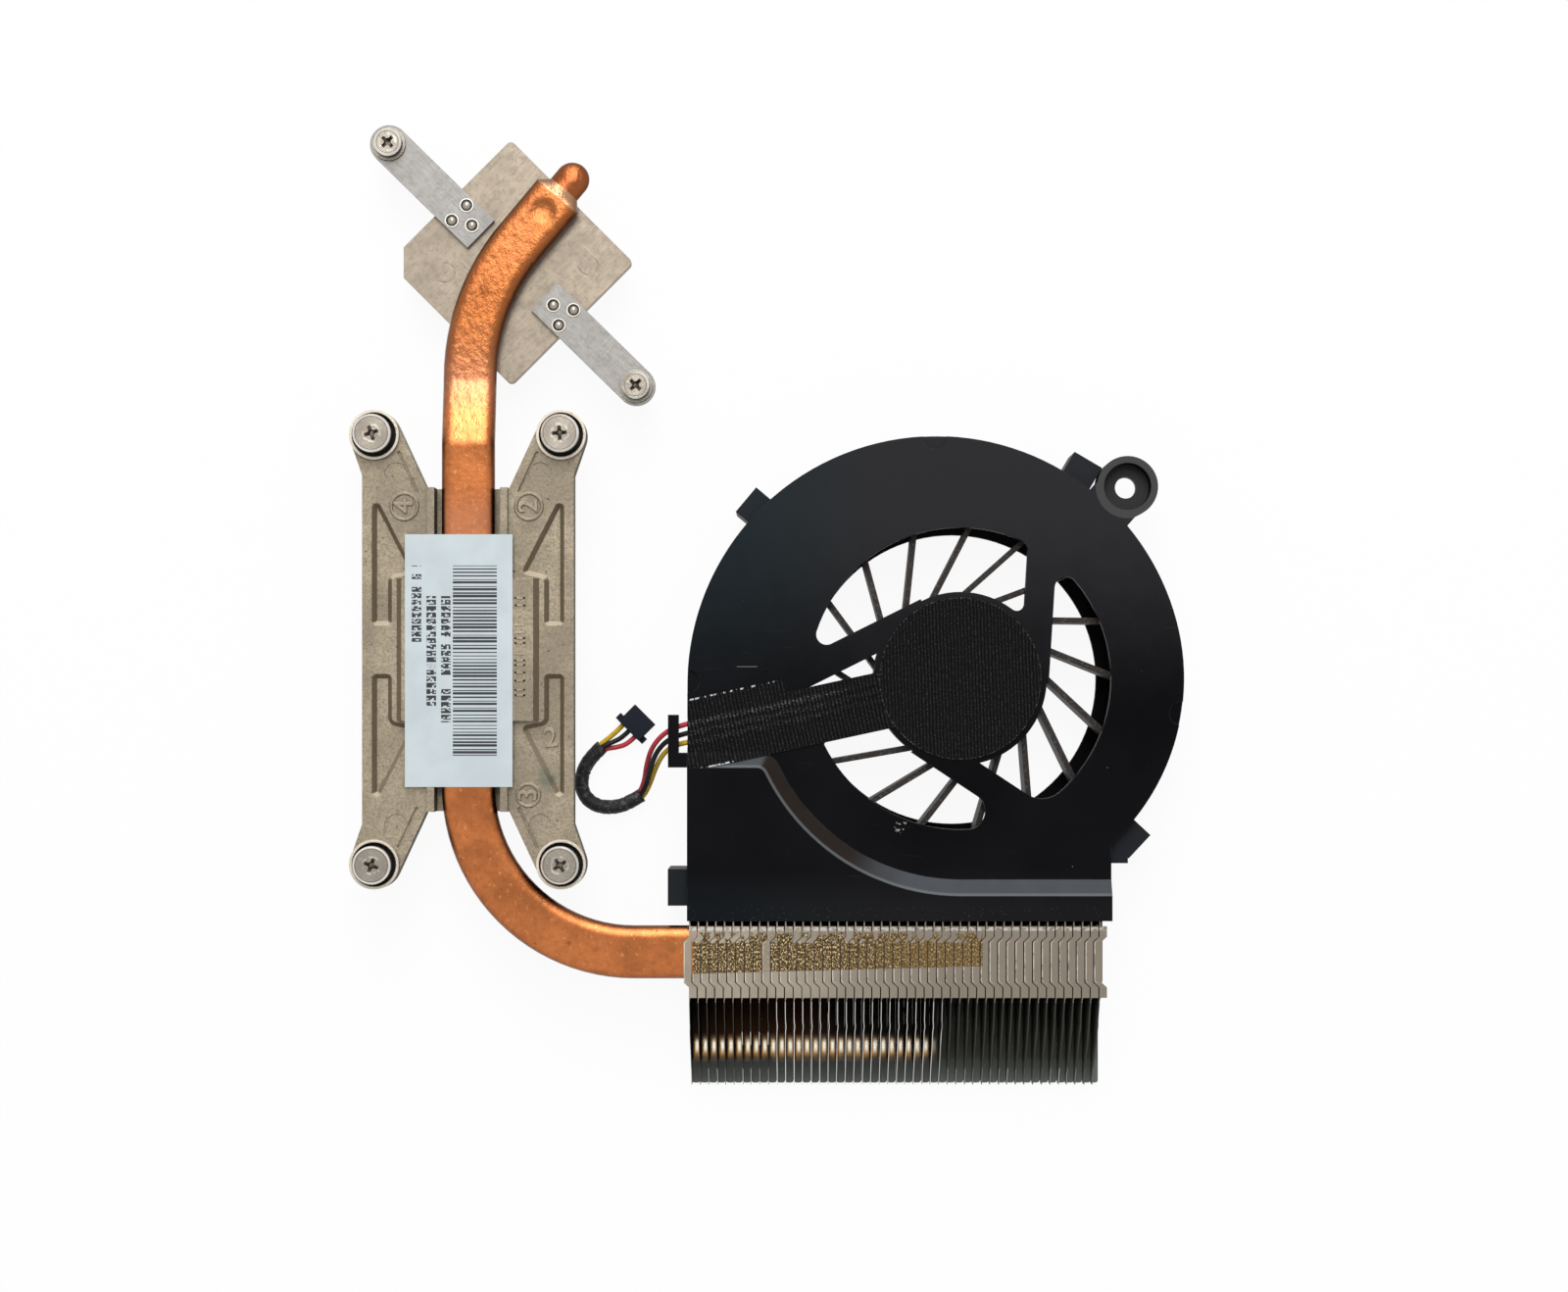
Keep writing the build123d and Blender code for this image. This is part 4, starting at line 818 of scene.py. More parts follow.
def fin_flanges(finish, grain, waist, seam, shade):
    """Flanges: paler at the left, with a painted highlight beside each seam and along the front edge."""
    x, y, _ = finish.split()
    # Painted highlights beside each seam and along the flanges' front edge.
    gleam = seam.ease(0.17, 0.06) * waist * grain.ease(0.35, 0.55)
    front_highlight = y.band(*FRONT_HIGHLIGHT_Y, 0.08) * finish.noise(1.7, 3).ease(0.40, 0.56)
    return finish.layers(
        finish.mix(x.ease(36, 70), tint(shade, 1.0), tint(shade, 0.60)),
        (finish.noise(0.18, 3).ease(0.3, 0.75) * 0.5, tint(shade, 0.50)),
        (grain * 0.35, tint(shade, 0.42)),
        (gleam * 0.6, linear(226, 220, 208)),
        (front_highlight * 0.4, linear(240, 237, 230)),
    )


def fin_flux(finish, rough, number, flux):
    """Where the flux lies, broken up along its front, and its colour, with painted glints among its specks.
    """
    x, y, _ = finish.split()
    tongues = finish.noise(0.8, 2, by=(1.0, 0.5, 1.0)).ease(0.42, 0.52)
    lies = (y - (x - FLUX_LEFT) * FLUX_LEAN).ease(*FLUX_BACK) * (y + rough).ease(*FLUX_FRONT)
    lies = lies * x.ease(*FLUX_END) * number.ease(0.4, 0.6) * y.ease(*FLUX_WHOLE).either(tongues)
    lies = lies * (1 - 0.8 * abs(number - FLUX_MISSED).ease(0.6, 0.4))
    wear_and_glint = x.ease(68, 50)
    # The pale specks in the crust are painted glints.
    crust = finish.layers(
        finish.mix(wear_and_glint, tint(flux, 1.12), tint(flux, 0.88)),
        (rough.ease(0.51, 0.43) * (0.6 + 0.4 * wear_and_glint), tint(flux, 0.22)),
        (rough.ease(0.54, 0.60) * (0.45 + 0.55 * wear_and_glint), linear(250, 228, 180)),
    )
    return lies, crust


def fin_plates(finish, grain, number, shade, fin_shade):
    """Colour of the plates and where they shine: painted shade, painted highlights on their edges over the
    middle, a painted golden glint low down.
    """
    x, y, z = finish.split()
    up = finish.facing()
    # Painted highlights on the plates' top edges where sheen is high.
    edge = up.ease(0.15, 0.4) * z.ease(-5.5, -5.3)
    middle = x.band(44.2, 68.6, 0.3).either(x.ease(38.6, 38.8) * y.band(-57.5, -55.4, 0.2))
    ends = y.ease(-61.2, -61.6) * finish.random(number) * 0.8
    sheen = (middle * x.ease(69.5, 69.3)).either(ends).either(y.band(-50.9, -50.1, 0.1) * 0.6)
    shade_cloud = finish.noise(0.5, 3, by=(0.5, 0.5, 0.3))
    right = finish.mix(shade_cloud, linear(86, 90, 82), linear(146, 150, 138))
    brown = x.band(34, 52, 4) * y.band(-57.4, -50.2, 0.4)
    place = ((x - FIN_LEFT) / FIN_PITCH + 0.12 * grain).fraction()
    # A painted golden glint low between the plates, brightest in its core.
    gold = (y + 0.7 * finish.noise(0.9, 2)).band(*GOLD_Y, 0.9) * x.ease(69, 66.5)
    gold = gold * z.ease(-5.3, -5.6) * place.band(0.27, 0.97, 0.13) * up.ease(-0.5, -0.2)
    glow = place.band(0.46, 0.84, 0.12) * y.band(*GOLD_BRIGHT_Y, 0.6)
    # The plates are painted dark as shade, darker still under the flanges, where their tips get painted
    # highlights.
    body = finish.layers(
        finish.mix(shade_cloud, tint(fin_shade, 0.5), tint(fin_shade, 1.4)),
        (x.ease(66.5, 69.5) * 0.85, right),
        (brown * 0.9, linear(112, 78, 56)),
        (y.ease(-60.1, -60.8) * 0.8, linear(126, 131, 126)),
        (finish.specks(1.3, 0.12, 0.10) * 0.7, linear(228, 228, 220)),
        (gold, finish.mix(glow, linear(168, 126, 74), linear(255, 250, 230))),
        (edge, finish.mix(sheen, linear(84, 82, 78), linear(214, 211, 206))),
        (y.ease(-50.4, -50.0), finish.mix(edge, tint(shade, 0.15), linear(226, 222, 214))),
    )
    return body, gold.either(edge * sheen)


def folded_sheet(shade, flux, fin_shade):
    """Fin sheet: pale flanges with brown flux over the pipe, and plates below them painted dark as shade."""
    finish = Finish("fin_sheet")
    x, y, z = finish.split()
    grain = finish.noise(1.6, 4, 0.7, by=(1.0, 0.4, 1.0))
    rough = finish.noise(3.6, 4, 0.7, by=(1.3, 0.8, 1.0))
    flange = z.ease(*FLANGE_TOP)
    waist = y.band(*WAIST_Y, 0.3)
    step = (x + WAIST * waist - FIN_LEFT) / FIN_PITCH
    number = step.floor()
    top = fin_flanges(finish, grain, waist, step.fraction(), shade)
    stained, crust = fin_flux(finish, rough, number, flux)
    plates, shine = fin_plates(finish, grain, number, shade, fin_shade)
    return finish.surface(
        base_color=finish.mix(flange, plates, finish.mix(stained * 0.94, top, crust)),
        metallic=(0.65 - 0.5 * stained) * flange + (1 - flange) * shine,
        roughness=0.16 + flange * (0.26 + 0.2 * grain + 0.2 * stained),
        specular_ior_level=0.0,
        normal=finish.bump(grain * 0.4 + stained * rough * 1.4, 0.00006, 0.8),
    )


def printed_paper(shade, ink):
    """Pale label with a field of dark bars and three columns of dashes."""
    finish = Finish("label_paper")
    x, y, _ = finish.split()
    step = y / BAR_STEP
    wide = 0.26 + 0.56 * finish.random(step.floor())
    marks = step.fraction().ease(wide, wide - 0.05) * x.band(*BARS_X, 0.03) * y.band(*BARS_Y, 0.03)
    step = y / DASH_STEP
    line = step.floor()
    cell = step.fraction()
    for middle, low, high, seed in COLUMNS:
        row = ((x - middle) / DASH_ROW + 2.5).floor()
        dot = finish.random(line * 7.31 + row * 1.7 + (cell / 0.2).floor() * 0.37 + seed).ease(0.22, 0.24)
        gap = finish.random(line + seed).ease(0.10, 0.12)
        inside = cell.band(0.02, 0.80, 0.02) * abs(x - middle).ease(0.72, 0.68)
        marks = marks.either(dot * gap * inside * y.band(low, high, 0.02))
    fibre = finish.noise(3.0, 4, by=(2.0, 0.7, 1.0))
    cloud = finish.noise(0.2, 3)
    body = finish.layers(
        finish.mix(cloud.ease(0.3, 0.7), tint(shade, 1.03), tint(shade, 0.93)),
        (fibre * 0.12, tint(shade, 0.7)),
        (marks * (0.94 + 0.06 * fibre), ink),
    )
    return finish.surface(
        base_color=body,
        roughness=0.5 + 0.1 * fibre,
        specular_ior_level=0.35,
        normal=finish.bump(fibre * 0.3 + cloud, 0.00008, 0.5),
    )


def wire_skin(name, shade):
    """Soft insulation with faint smudges."""
    finish = Finish(name)
    smudge = finish.noise(1.3, 4)
    return finish.surface(
        base_color=finish.mix(smudge.ease(0.4, 0.75), tint(shade, 1.08), tint(shade, 0.68)),
        roughness=0.38 + 0.15 * smudge,
        specular_ior_level=0.2,
        normal=finish.bump(smudge, 0.00004, 0.5),
    )


def lead_skin(red, black, yellow):
    """The three wires in the groove, side by side."""
    finish = Finish("taped_lead_skins")
    across = finish.split(finish.turn(LEAD_TURN, (FAN_X, FAN_Y, 0)))[1] + LEAD_MIDDLE
    smudge = finish.noise(1.3, 4)
    half = WIRE_GAP / 2
    body = finish.layers(
        red,
        (across.ease(-half - 0.01, -half + 0.01), black),
        (across.ease(half - 0.01, half + 0.01), yellow),
        (smudge * 0.3, linear(40, 30, 30)),
    )
    return finish.surface(base_color=body, roughness=0.4 + 0.12 * smudge)


def sleeve_skin(shade):
    """Dull grey tubing, crinkled, with painted highlights on the raised crinkles."""
    finish = Finish("sleeve_tube")
    crinkle = finish.noise(1.5, 5, 0.65)
    body = finish.layers(
        finish.mix(finish.noise(0.5, 3), tint(shade, 0.6), tint(shade, 1.3)),
        # Painted highlights on the raised crinkles.
        (crinkle.ease(0.5, 0.68) * 0.35, linear(140, 142, 144)),
    )
    return finish.surface(
        base_color=body,
        roughness=0.38 + 0.2 * crinkle,
        specular_ior_level=0.25,
        normal=finish.bump(crinkle, 0.00025, 0.8),
    )


def dress(finish, *names):
    """Give CAD pieces a finish."""
    for name in names:
        mesh = NODES[name].data
        mesh.materials.clear()
        mesh.materials.append(finish)


def keep(piece, body):
    """Let a new piece ride on a body."""
    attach(piece, body)
    return piece


def link(name, data, finish):
    """Make an object of a mesh or curve."""
    piece = bpy.data.objects.new(name, data)
    bpy.context.scene.collection.objects.link(piece)
    data.materials.append(finish)
    return piece


def outward(angle):
    """Level direction at an angle."""
    return Vector((math.cos(angle), math.sin(angle), 0))


def route_point(place):
    """Middle of the lead at one place on its route."""
    return LEAD_EXIT + Vector(ROUTE[place][:3])


def wire_points(side):
    """Control points of one wire: -1, 0 and 1 lie side by side, and the middle one is lifted."""
    points = []
    for place, (_, _, _, spread, lift) in enumerate(ROUTE):
        before = ROUTE[max(place - 1, 0)]
        after = ROUTE[min(place + 1, len(ROUTE) - 1)]
        heading = math.atan2(after[1] - before[1], after[0] - before[0])
        rise = lift * (2 / 3 if side == 0 else -1 / 3)
        aside = Vector((-math.sin(heading), math.cos(heading), 0)) * side * spread
        points.append(route_point(place) + aside + UP * rise)
    return points


def smooth_curve(name, points, radius):
    """Round curve whose control points are the route's."""
    curve = bpy.data.curves.new(name, "CURVE")
    curve.dimensions = "3D"
    curve.bevel_depth = radius
    curve.bevel_resolution = 4
    curve.resolution_u = 10
    curve.use_fill_caps = radius > 0
    spline = curve.splines.new("NURBS")
    spline.points.add(len(points) - 1)
    for spot, point in zip(spline.points, points):
        spot.co = (*point, 1.0)
    spline.order_u = 3
    spline.use_endpoint_u = True
    return curve


def mesh_of(curve):
    """Mesh of a curve or text, which is then removed."""
    holder = bpy.data.objects.new(curve.name, curve)
    bpy.context.scene.collection.objects.link(holder)
    mesh = bpy.data.meshes.new_from_object(holder)
    bpy.data.objects.remove(holder)
    bpy.data.curves.remove(curve)
    return mesh


def read_line(points):
    """Points along the smooth curve of a route."""
    mesh = mesh_of(smooth_curve("route_line", points, 0.0))
    line = [vertex.co.copy() for vertex in mesh.vertices]
    bpy.data.meshes.remove(mesh)
    return line


def tube_faces(base, rows, sides, closed):
    """Faces between neighbouring rings of points, and from the last ring to the first where closed."""
    faces = []
    for row in range(rows if closed else rows - 1):
        near = base + row * sides
        far = base + (row + 1) % rows * sides
        for side in range(sides):
            over = (side + 1) % sides
            faces.append((near + side, near + over, far + over, far + side))
    return faces


def skin(name, rings, closed):
    """Smooth mesh of rings joined to a tube."""
    mesh = bpy.data.meshes.new(name)
    points = [tuple(point) for ring in rings for point in ring]
    mesh.from_pydata(points, [], tube_faces(0, len(rings), len(rings[0]), closed))
    mesh.validate()
    mesh.shade_smooth()
    return mesh


def capped_bars(name, runs):
    """Mesh of closed bars, each given in millimetres as rings of corners from one end to the other."""
    points = []
    faces = []
    for rings in runs:
        base = len(points)
        sides = len(rings[0])
        points += [point for ring in rings for point in ring]
        last = len(points) - sides
        faces += tube_faces(base, len(rings), sides, False)
        faces += [tuple(range(base, base + sides)), tuple(range(last, last + sides))]
    mesh = bpy.data.meshes.new(name)
    mesh.from_pydata(points, [], faces)
    shape = bmesh.new()
    shape.from_mesh(mesh)
    bmesh.ops.recalc_face_normals(shape, faces=shape.faces)
    shape.to_mesh(mesh)
    shape.free()
    mesh.transform(Matrix.Scale(MM, 4))
    return mesh


def crinkled_tube(name, line, outer, sides=20):
    """Hollow tube along a line, with random dents."""
    rng = random.Random(DENT_SEED)
    rings = []
    inner = []
    for place, here in enumerate(line):
        before = line[max(place - 1, 0)]
        after = line[min(place + 1, len(line) - 1)]
        ahead = (after - before).normalized()
        aside = ahead.cross(UP).normalized()
        up = aside.cross(ahead)
        dents = [rng.uniform(-1, 1) for _ in range(3)]
        ring = []
        bore = []
        for side in range(sides):
            angle = math.tau * side / sides
            way = aside * math.cos(angle) + up * math.sin(angle)
            dent = sum(deep * math.cos(wave * angle) for wave, deep in enumerate(dents, start=2))
            ring.append(here + way * (outer + SLEEVE_DENT * dent))
            bore.append(here + way * (outer - SLEEVE_WALL))
        rings.append(ring)
        inner.append(bore)
    return skin(name, rings + inner[::-1], True)


def fin_bars(number, pipe_y, rng):
    """Bars of one folded fin: its plate round the pipe's slot, its top flange and its floor."""
    low, high = FIN_LOW, FIN_HIGH
    x = FIN_LEFT + number * FIN_PITCH
    under = high.z - FIN_T
    base = under - SLOT_H
    near = pipe_y + SLOT_HALF
    far = pipe_y - SLOT_HALF
    start = high.y - FLANGE_START
    rear = start - FLANGE_LEN
    lean = rng.uniform(-FIN_LEAN, FIN_LEAN)
    jog = FIN_JOG if number in JOGGED else rng.uniform(0.0, SMALL_JOG)
    wave = rng.uniform(0, math.tau)

    def plate(places, top):
        rings = []
        for y, height in zip(places, top):
            back = max(0.0, rear - y)
            thick = FIN_T if back == 0 else FIN_THIN
            side = x + lean * back / LEAN_RUN + jog * math.exp(-(((back - JOG_BACK) / JOG_RUN) ** 2))
            side += FIN_WAVE * math.sin(back * WAVE_TURN + wave) * min(1.0, back)
            corners = ((side, low.z), (side + thick, low.z), (side + thick, height), (side, height))
            rings.append([(across, y, level) for across, level in corners])
        return rings

    def slab(outline, bottom, top):
        return [[(*corner, z) for corner in outline] for z in (bottom, top)]

    def straight(first, last, parts, begin):
        steps = [part / parts for part in range(begin, parts + 1)]
        return [tuple(a + (b - a) * step for a, b in zip(first, last)) for step in steps]

    knee = (rear - SLOPE_RUN, high.z - SLOPE_DROP)
    foot = low.z + TOE_H
    back = straight((rear, high.z), knee, SLOPE_PARTS, 0)
    back += straight(knee, (low.y + TOE_RUN, foot), TAIL_PARTS, 1)
    back.append((low.y, foot))
    width = FIN_PITCH - (LAST_GAP if number == FINS - 1 else FLANGE_GAP)
    flange = [(x + aside, start - down) for aside, down in FLANGE_TURNS]
    flange += [(x + aside + width, start - down) for aside, down in reversed(FLANGE_TURNS)]
    right = x + (width if number == FINS - 1 else FIN_PITCH - FLOOR_GAP)
    cut, nick = FLOOR_CORNER
    floor = [(x, high.y), (right, high.y)]
    floor += [(right, low.y + cut), (right - nick, low.y + nick), (right - cut, low.y)]
    floor += [(x + cut, low.y), (x + nick, low.y + nick), (x, low.y + cut)]
    return [
        plate((high.y, start), (high.z, high.z)),
        plate((start, near), (under, under)),
        plate((near, far), (base, base)),
        plate((far, rear), (under, under)),
        plate(*zip(*back)),
        slab(flange, under, high.z),
        slab(floor, low.z, low.z + FIN_T),
    ]


def thread_ridge(name, centre, radius, low, high, pitch, ridge, sides=24):
    """Helical ridge of a screw thread, which fades out over its first and last turn."""
    rings = []
    steps = int((high - low) / pitch * sides)
    half = UP * pitch * THREAD_HALF
    for step in range(steps + 1):
        rise = low + pitch * step / sides
        fade = min(1.0, step / sides, (steps - step) / sides)
        way = outward(math.tau * step / sides)
        foot = Vector((*centre, rise)) + way * (radius - THREAD_SINK)
        crest = foot + way * (THREAD_SINK + ridge / 2 * fade)
        rings.append([foot - half, crest, foot + half])
    return skin(name, rings, False)


def wire_ring(core, out, radius, sides):
    """Points round a wire, in the upright plane of a direction."""
    turns = [math.tau * side / sides for side in range(sides)]
    return [core + (out * math.cos(turn) + UP * math.sin(turn)) * radius for turn in turns]


def coil_mesh(name, low, high, wire, sides=10):
    """Round-wire coil that fills a box, closed at its two ends."""
    radius = (high.x - low.x) / 2 - wire / 2
    middle = (low + high) / 2
    rise = high.z - low.z - wire
    rings = []
    steps = int(COIL_TURNS * COIL_STEPS)
    for step in [0, *range(steps + 1), steps]:
        out = outward(math.tau * step / COIL_STEPS)
        core = Vector((middle.x, middle.y, low.z + wire / 2 + rise * step / steps)) + out * radius
        half = wire / 2 if 0 < len(rings) <= steps + 1 else 0.0
        rings.append(wire_ring(core, out, half, sides))
    return skin(name, rings, False)


def numeral_mesh(name, text, height, relief, ring):
    """A raised numeral, in a raised ring where asked, standing on its own origin."""
    letters = bpy.data.curves.new(name, "FONT")
    letters.body = text
    letters.size = height * LETTER_SIZE
    letters.align_x = "CENTER"
    letters.align_y = "CENTER"
    letters.extrude = relief
    letters.bevel_depth = relief * LETTER_BEVEL
    letters.resolution_u = 4
    mesh = mesh_of(letters)
    if ring:
        ways = [outward(math.tau * step / HOOP_STEPS) for step in range(HOOP_STEPS)]
        rings = [wire_ring(way * ring, way, relief * HOOP_WIRE, HOOP_SIDES) for way in ways]
        hoop = skin(name + "_ring", rings, True)
        shape = bmesh.new()
        shape.from_mesh(mesh)
        shape.from_mesh(hoop)
        shape.to_mesh(mesh)
        shape.free()
        mesh.shade_flat()
        bpy.data.meshes.remove(hoop)
    return mesh


class ModuleOperator:
    """Shared parts of the operators."""

    bl_options = {"REGISTER", "UNDO"}

    @staticmethod
    def settings(context):
        return context.scene.cooling_colours, context.scene.cooling_sizes


class COOLING_OT_stage(ModuleOperator, bpy.types.Operator):
    """Put the module on a pale table under soft light, with the camera straight above"""

    bl_idname = "cooling.stage"
    bl_label = "Stage"

    def execute(self, context):
        colours, sizes = self.settings(context)
        scene = context.scene
        scene.view_settings.view_transform = "Standard"
        self.camera(scene)
        self.floor(colours.floor)
        self.world(scene, sizes.fill)
        self.lamp(scene, sizes.lamp)
        return {"FINISHED"}

    @staticmethod
    def camera(scene):
        lens = bpy.data.cameras.new("camera")
        lens.sensor_fit = "HORIZONTAL"
        lens.sensor_width = SENSOR
        lens.lens = FOCAL_PX / PHOTO_W * SENSOR
        lens.shift_x = (PHOTO_W / 2 - AXIS_PX[0]) / PHOTO_W
        lens.shift_y = (AXIS_PX[1] - PHOTO_H / 2) / PHOTO_W
        lens.clip_start = CAMERA_NEAR
        camera = bpy.data.objects.new("camera", lens)
        camera.location = CAMERA_AT
        scene.collection.objects.link(camera)
        scene.camera = camera

    @staticmethod
    def seen(finish):
        """1 for rays that show the background: from the camera, or by way of gloss and glass."""
        path = finish.node("ShaderNodeLightPath")
        gloss = path.out("Is Glossy Ray").either(path.out("Is Transmission Ray"))
        return path.out("Is Camera Ray").either(gloss)

    def floor(self, shade):
        side = TABLE_HALF
        mesh = bpy.data.meshes.new("floor")
        corners = [(-side, -side, 0), (side, -side, 0), (side, side, 0), (-side, side, 0)]
        mesh.from_pydata(corners, [], [(0, 1, 2, 3)])
        finish = Finish("floor")
        finish.surface(base_color=tuple(shade), roughness=0.9, specular_ior_level=0.1)
        lit = Signal(finish, finish.shader.outputs[0])
        glow = finish.node("ShaderNodeEmission", None, {"Color": tuple(shade), "Strength": 1.0})
        share = self.seen(finish) * TABLE_GLOW
        mixed = finish.node("ShaderNodeMixShader", None, {0: share, 1: lit, 2: glow})
        finish.feed(finish.tree.nodes["Material Output"].inputs["Surface"], mixed)
        floor = link("floor", mesh, finish.material)
        floor.location = (CAMERA_AT[0], CAMERA_AT[1], TABLE_Z)

    def world(self, scene, strength):
        world = bpy.data.worlds.new("studio")
        world.use_nodes = True
        scene.world = world
        room = Room(world)
        soft = room.node("ShaderNodeBackground", None, {"Color": (1, 1, 1), "Strength": strength})
        white = room.node("ShaderNodeBackground", None, {"Color": (1, 1, 1), "Strength": 1.0})
        mixed = room.node("ShaderNodeMixShader", None, {0: self.seen(room), 1: soft, 2: white})
        room.feed(world.node_tree.nodes["World Output"].inputs["Surface"], mixed)

    @staticmethod
    def lamp(scene, power):
        light = bpy.data.lights.new("tall_light", "AREA")
        light.shape = "RECTANGLE"
        light.size, light.size_y = LAMP_SIZE
        light.energy = power
        lamp = bpy.data.objects.new("tall_light", light)
        lamp.location = LAMP_AT
        aim = Vector((CAMERA_AT[0], CAMERA_AT[1], 0)) - Vector(LAMP_AT)
        lamp.rotation_euler = aim.to_track_quat("-Z", "Y").to_euler()
        scene.collection.objects.link(lamp)


class COOLING_OT_lead(ModuleOperator, bpy.types.Operator):
    """Lay the three wires and their sleeve from the fan to the plug"""

    bl_idname = "cooling.lead"
    bl_label = "Lead and plug"

    def execute(self, context):
        colours, sizes = self.settings(context)
        middle = [route_point(place) for place in range(SLEEVE_FROM, SLEEVE_TO + 1)]
        tube = crinkled_tube("lead_sleeve_tube", read_line(middle), sizes.sleeve / 2)
        sleeve = keep(link("lead_sleeve_tube", tube, sleeve_skin(colours.sleeve)), "module")
        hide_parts("lead_sleeve")
        dress(moulded("plug_plastic", colours.plug, colours.dust).material, "plug_housing")
        dress(plain_metal("plug_contact_metal", colours.nickel, 0.25), "plug_contacts")
        dress(lead_skin(colours.red, colours.black, colours.yellow), "taped_leads")
        for name, side in WIRE_SIDES.items():
            points = wire_points(side)
            curve = smooth_curve(f"lead_wire_{name}", points, sizes.wire / 2)
            wire = link(f"lead_wire_{name}", curve, wire_skin(f"wire_{name}", getattr(colours, name)))
            keep(wire, "module")
            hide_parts(f"wire_{name}")
        return {"FINISHED"}


class COOLING_OT_fan(ModuleOperator, bpy.types.Operator):
    """Finish the fan's mouldings, its tape, its impeller and the motor inside"""

    bl_idname = "cooling.fan"
    bl_label = "Fan"

    # Tape, in millimetres: the gaps between its ribs on the hub and over the lead, and its painted edge
    # glints, each a place across the lead, its two ends along the lead and how much of it glints.
    ribs = (0.49, 0.55)
    edge_glints = ((-5.22, 35.0, 40.0, 0.2), (-5.22, 26.0, 35.0, 0.09), (4.75, 34.5, 41.0, 0.2))

    # How strong the painted glint is on the tape's crest over each wire.
    crest_glint = ((-1, 0.2), (0, 0.3), (1, 0.65))

    def execute(self, context):
        colours, _ = self.settings(context)
        dress(fan_plastic(colours.plastic, colours.dust), "fan_housing", "fan_cover")
        dress(blade_plastic(colours.blades, colours.dust), "impeller")
        ridges = [(LEAD_MIDDLE + side * WIRE_GAP, share) for side, share in self.crest_glint]
        hub, lead = self.ribs
        dress(cloth_tape("hub_cloth", colours.cloth, HUB_TAPE_TURN, hub, (), ()), "hub_tape")
        dress(cloth_tape("lead_cloth", colours.cloth, LEAD_TURN, lead, ridges, self.edge_glints), "lead_tape")
        self.motor(colours)
        return {"FINISHED"}

    @staticmethod
    def motor(colours):
        dress(plain_metal("rotor_steel", colours.nickel, 0.3), "rotor_yoke", "rotor_shaft")
        dress(plain_metal("magnet_ferrite", linear(52, 50, 52), 0.6, 0.2), "rotor_magnet")
        dress(plain_metal("bearing_brass", linear(196, 158, 88), 0.32), "bearing_holder", "sleeve_bearing")
        dress(moulded("thrust_nylon", linear(210, 205, 190), colours.dust).material, "thrust_disc")
        sheets = (linear(92, 90, 88), linear(140, 137, 132))
        dress(banded_metal("lamination_stack", 0.35, *sheets, 0.45, 0.00004), "stator_core")
        turns = (linear(120, 52, 26), linear(205, 112, 60))
        dress(banded_metal("winding_wire", 0.22, *turns, 0.3, 0.00006), "stator_coils")
        dress(plain_metal("board_laminate", linear(32, 92, 58), 0.4, 0.0), "motor_board")


class COOLING_OT_pipe(ModuleOperator, bpy.types.Operator):
    """Finish the copper pipe, the contact plate and the fins"""

    bl_idname = "cooling.pipe"
    bl_label = "Heat pipe and fins"

    def execute(self, context):
        colours, _ = self.settings(context)
        dress(bare_copper("pipe_copper", colours.copper, colours.tarnish_and_shade), "heat_pipe", "cpu_contact_plate")
        finish = folded_sheet(colours.fin, colours.flux, colours.fin_shade)
        dress(finish, "fin_stack")
        pipe_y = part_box("heat_pipe")[0].y / MM + SLOT_HALF
        rng = random.Random(FIN_SEED)
        bars = [bar for number in range(FINS) for bar in fin_bars(number, pipe_y, rng)]
        fins = keep(link("folded_fins", capped_bars("folded_fins", bars), finish), "module")
        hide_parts("fin_stack")
        return {"FINISHED"}


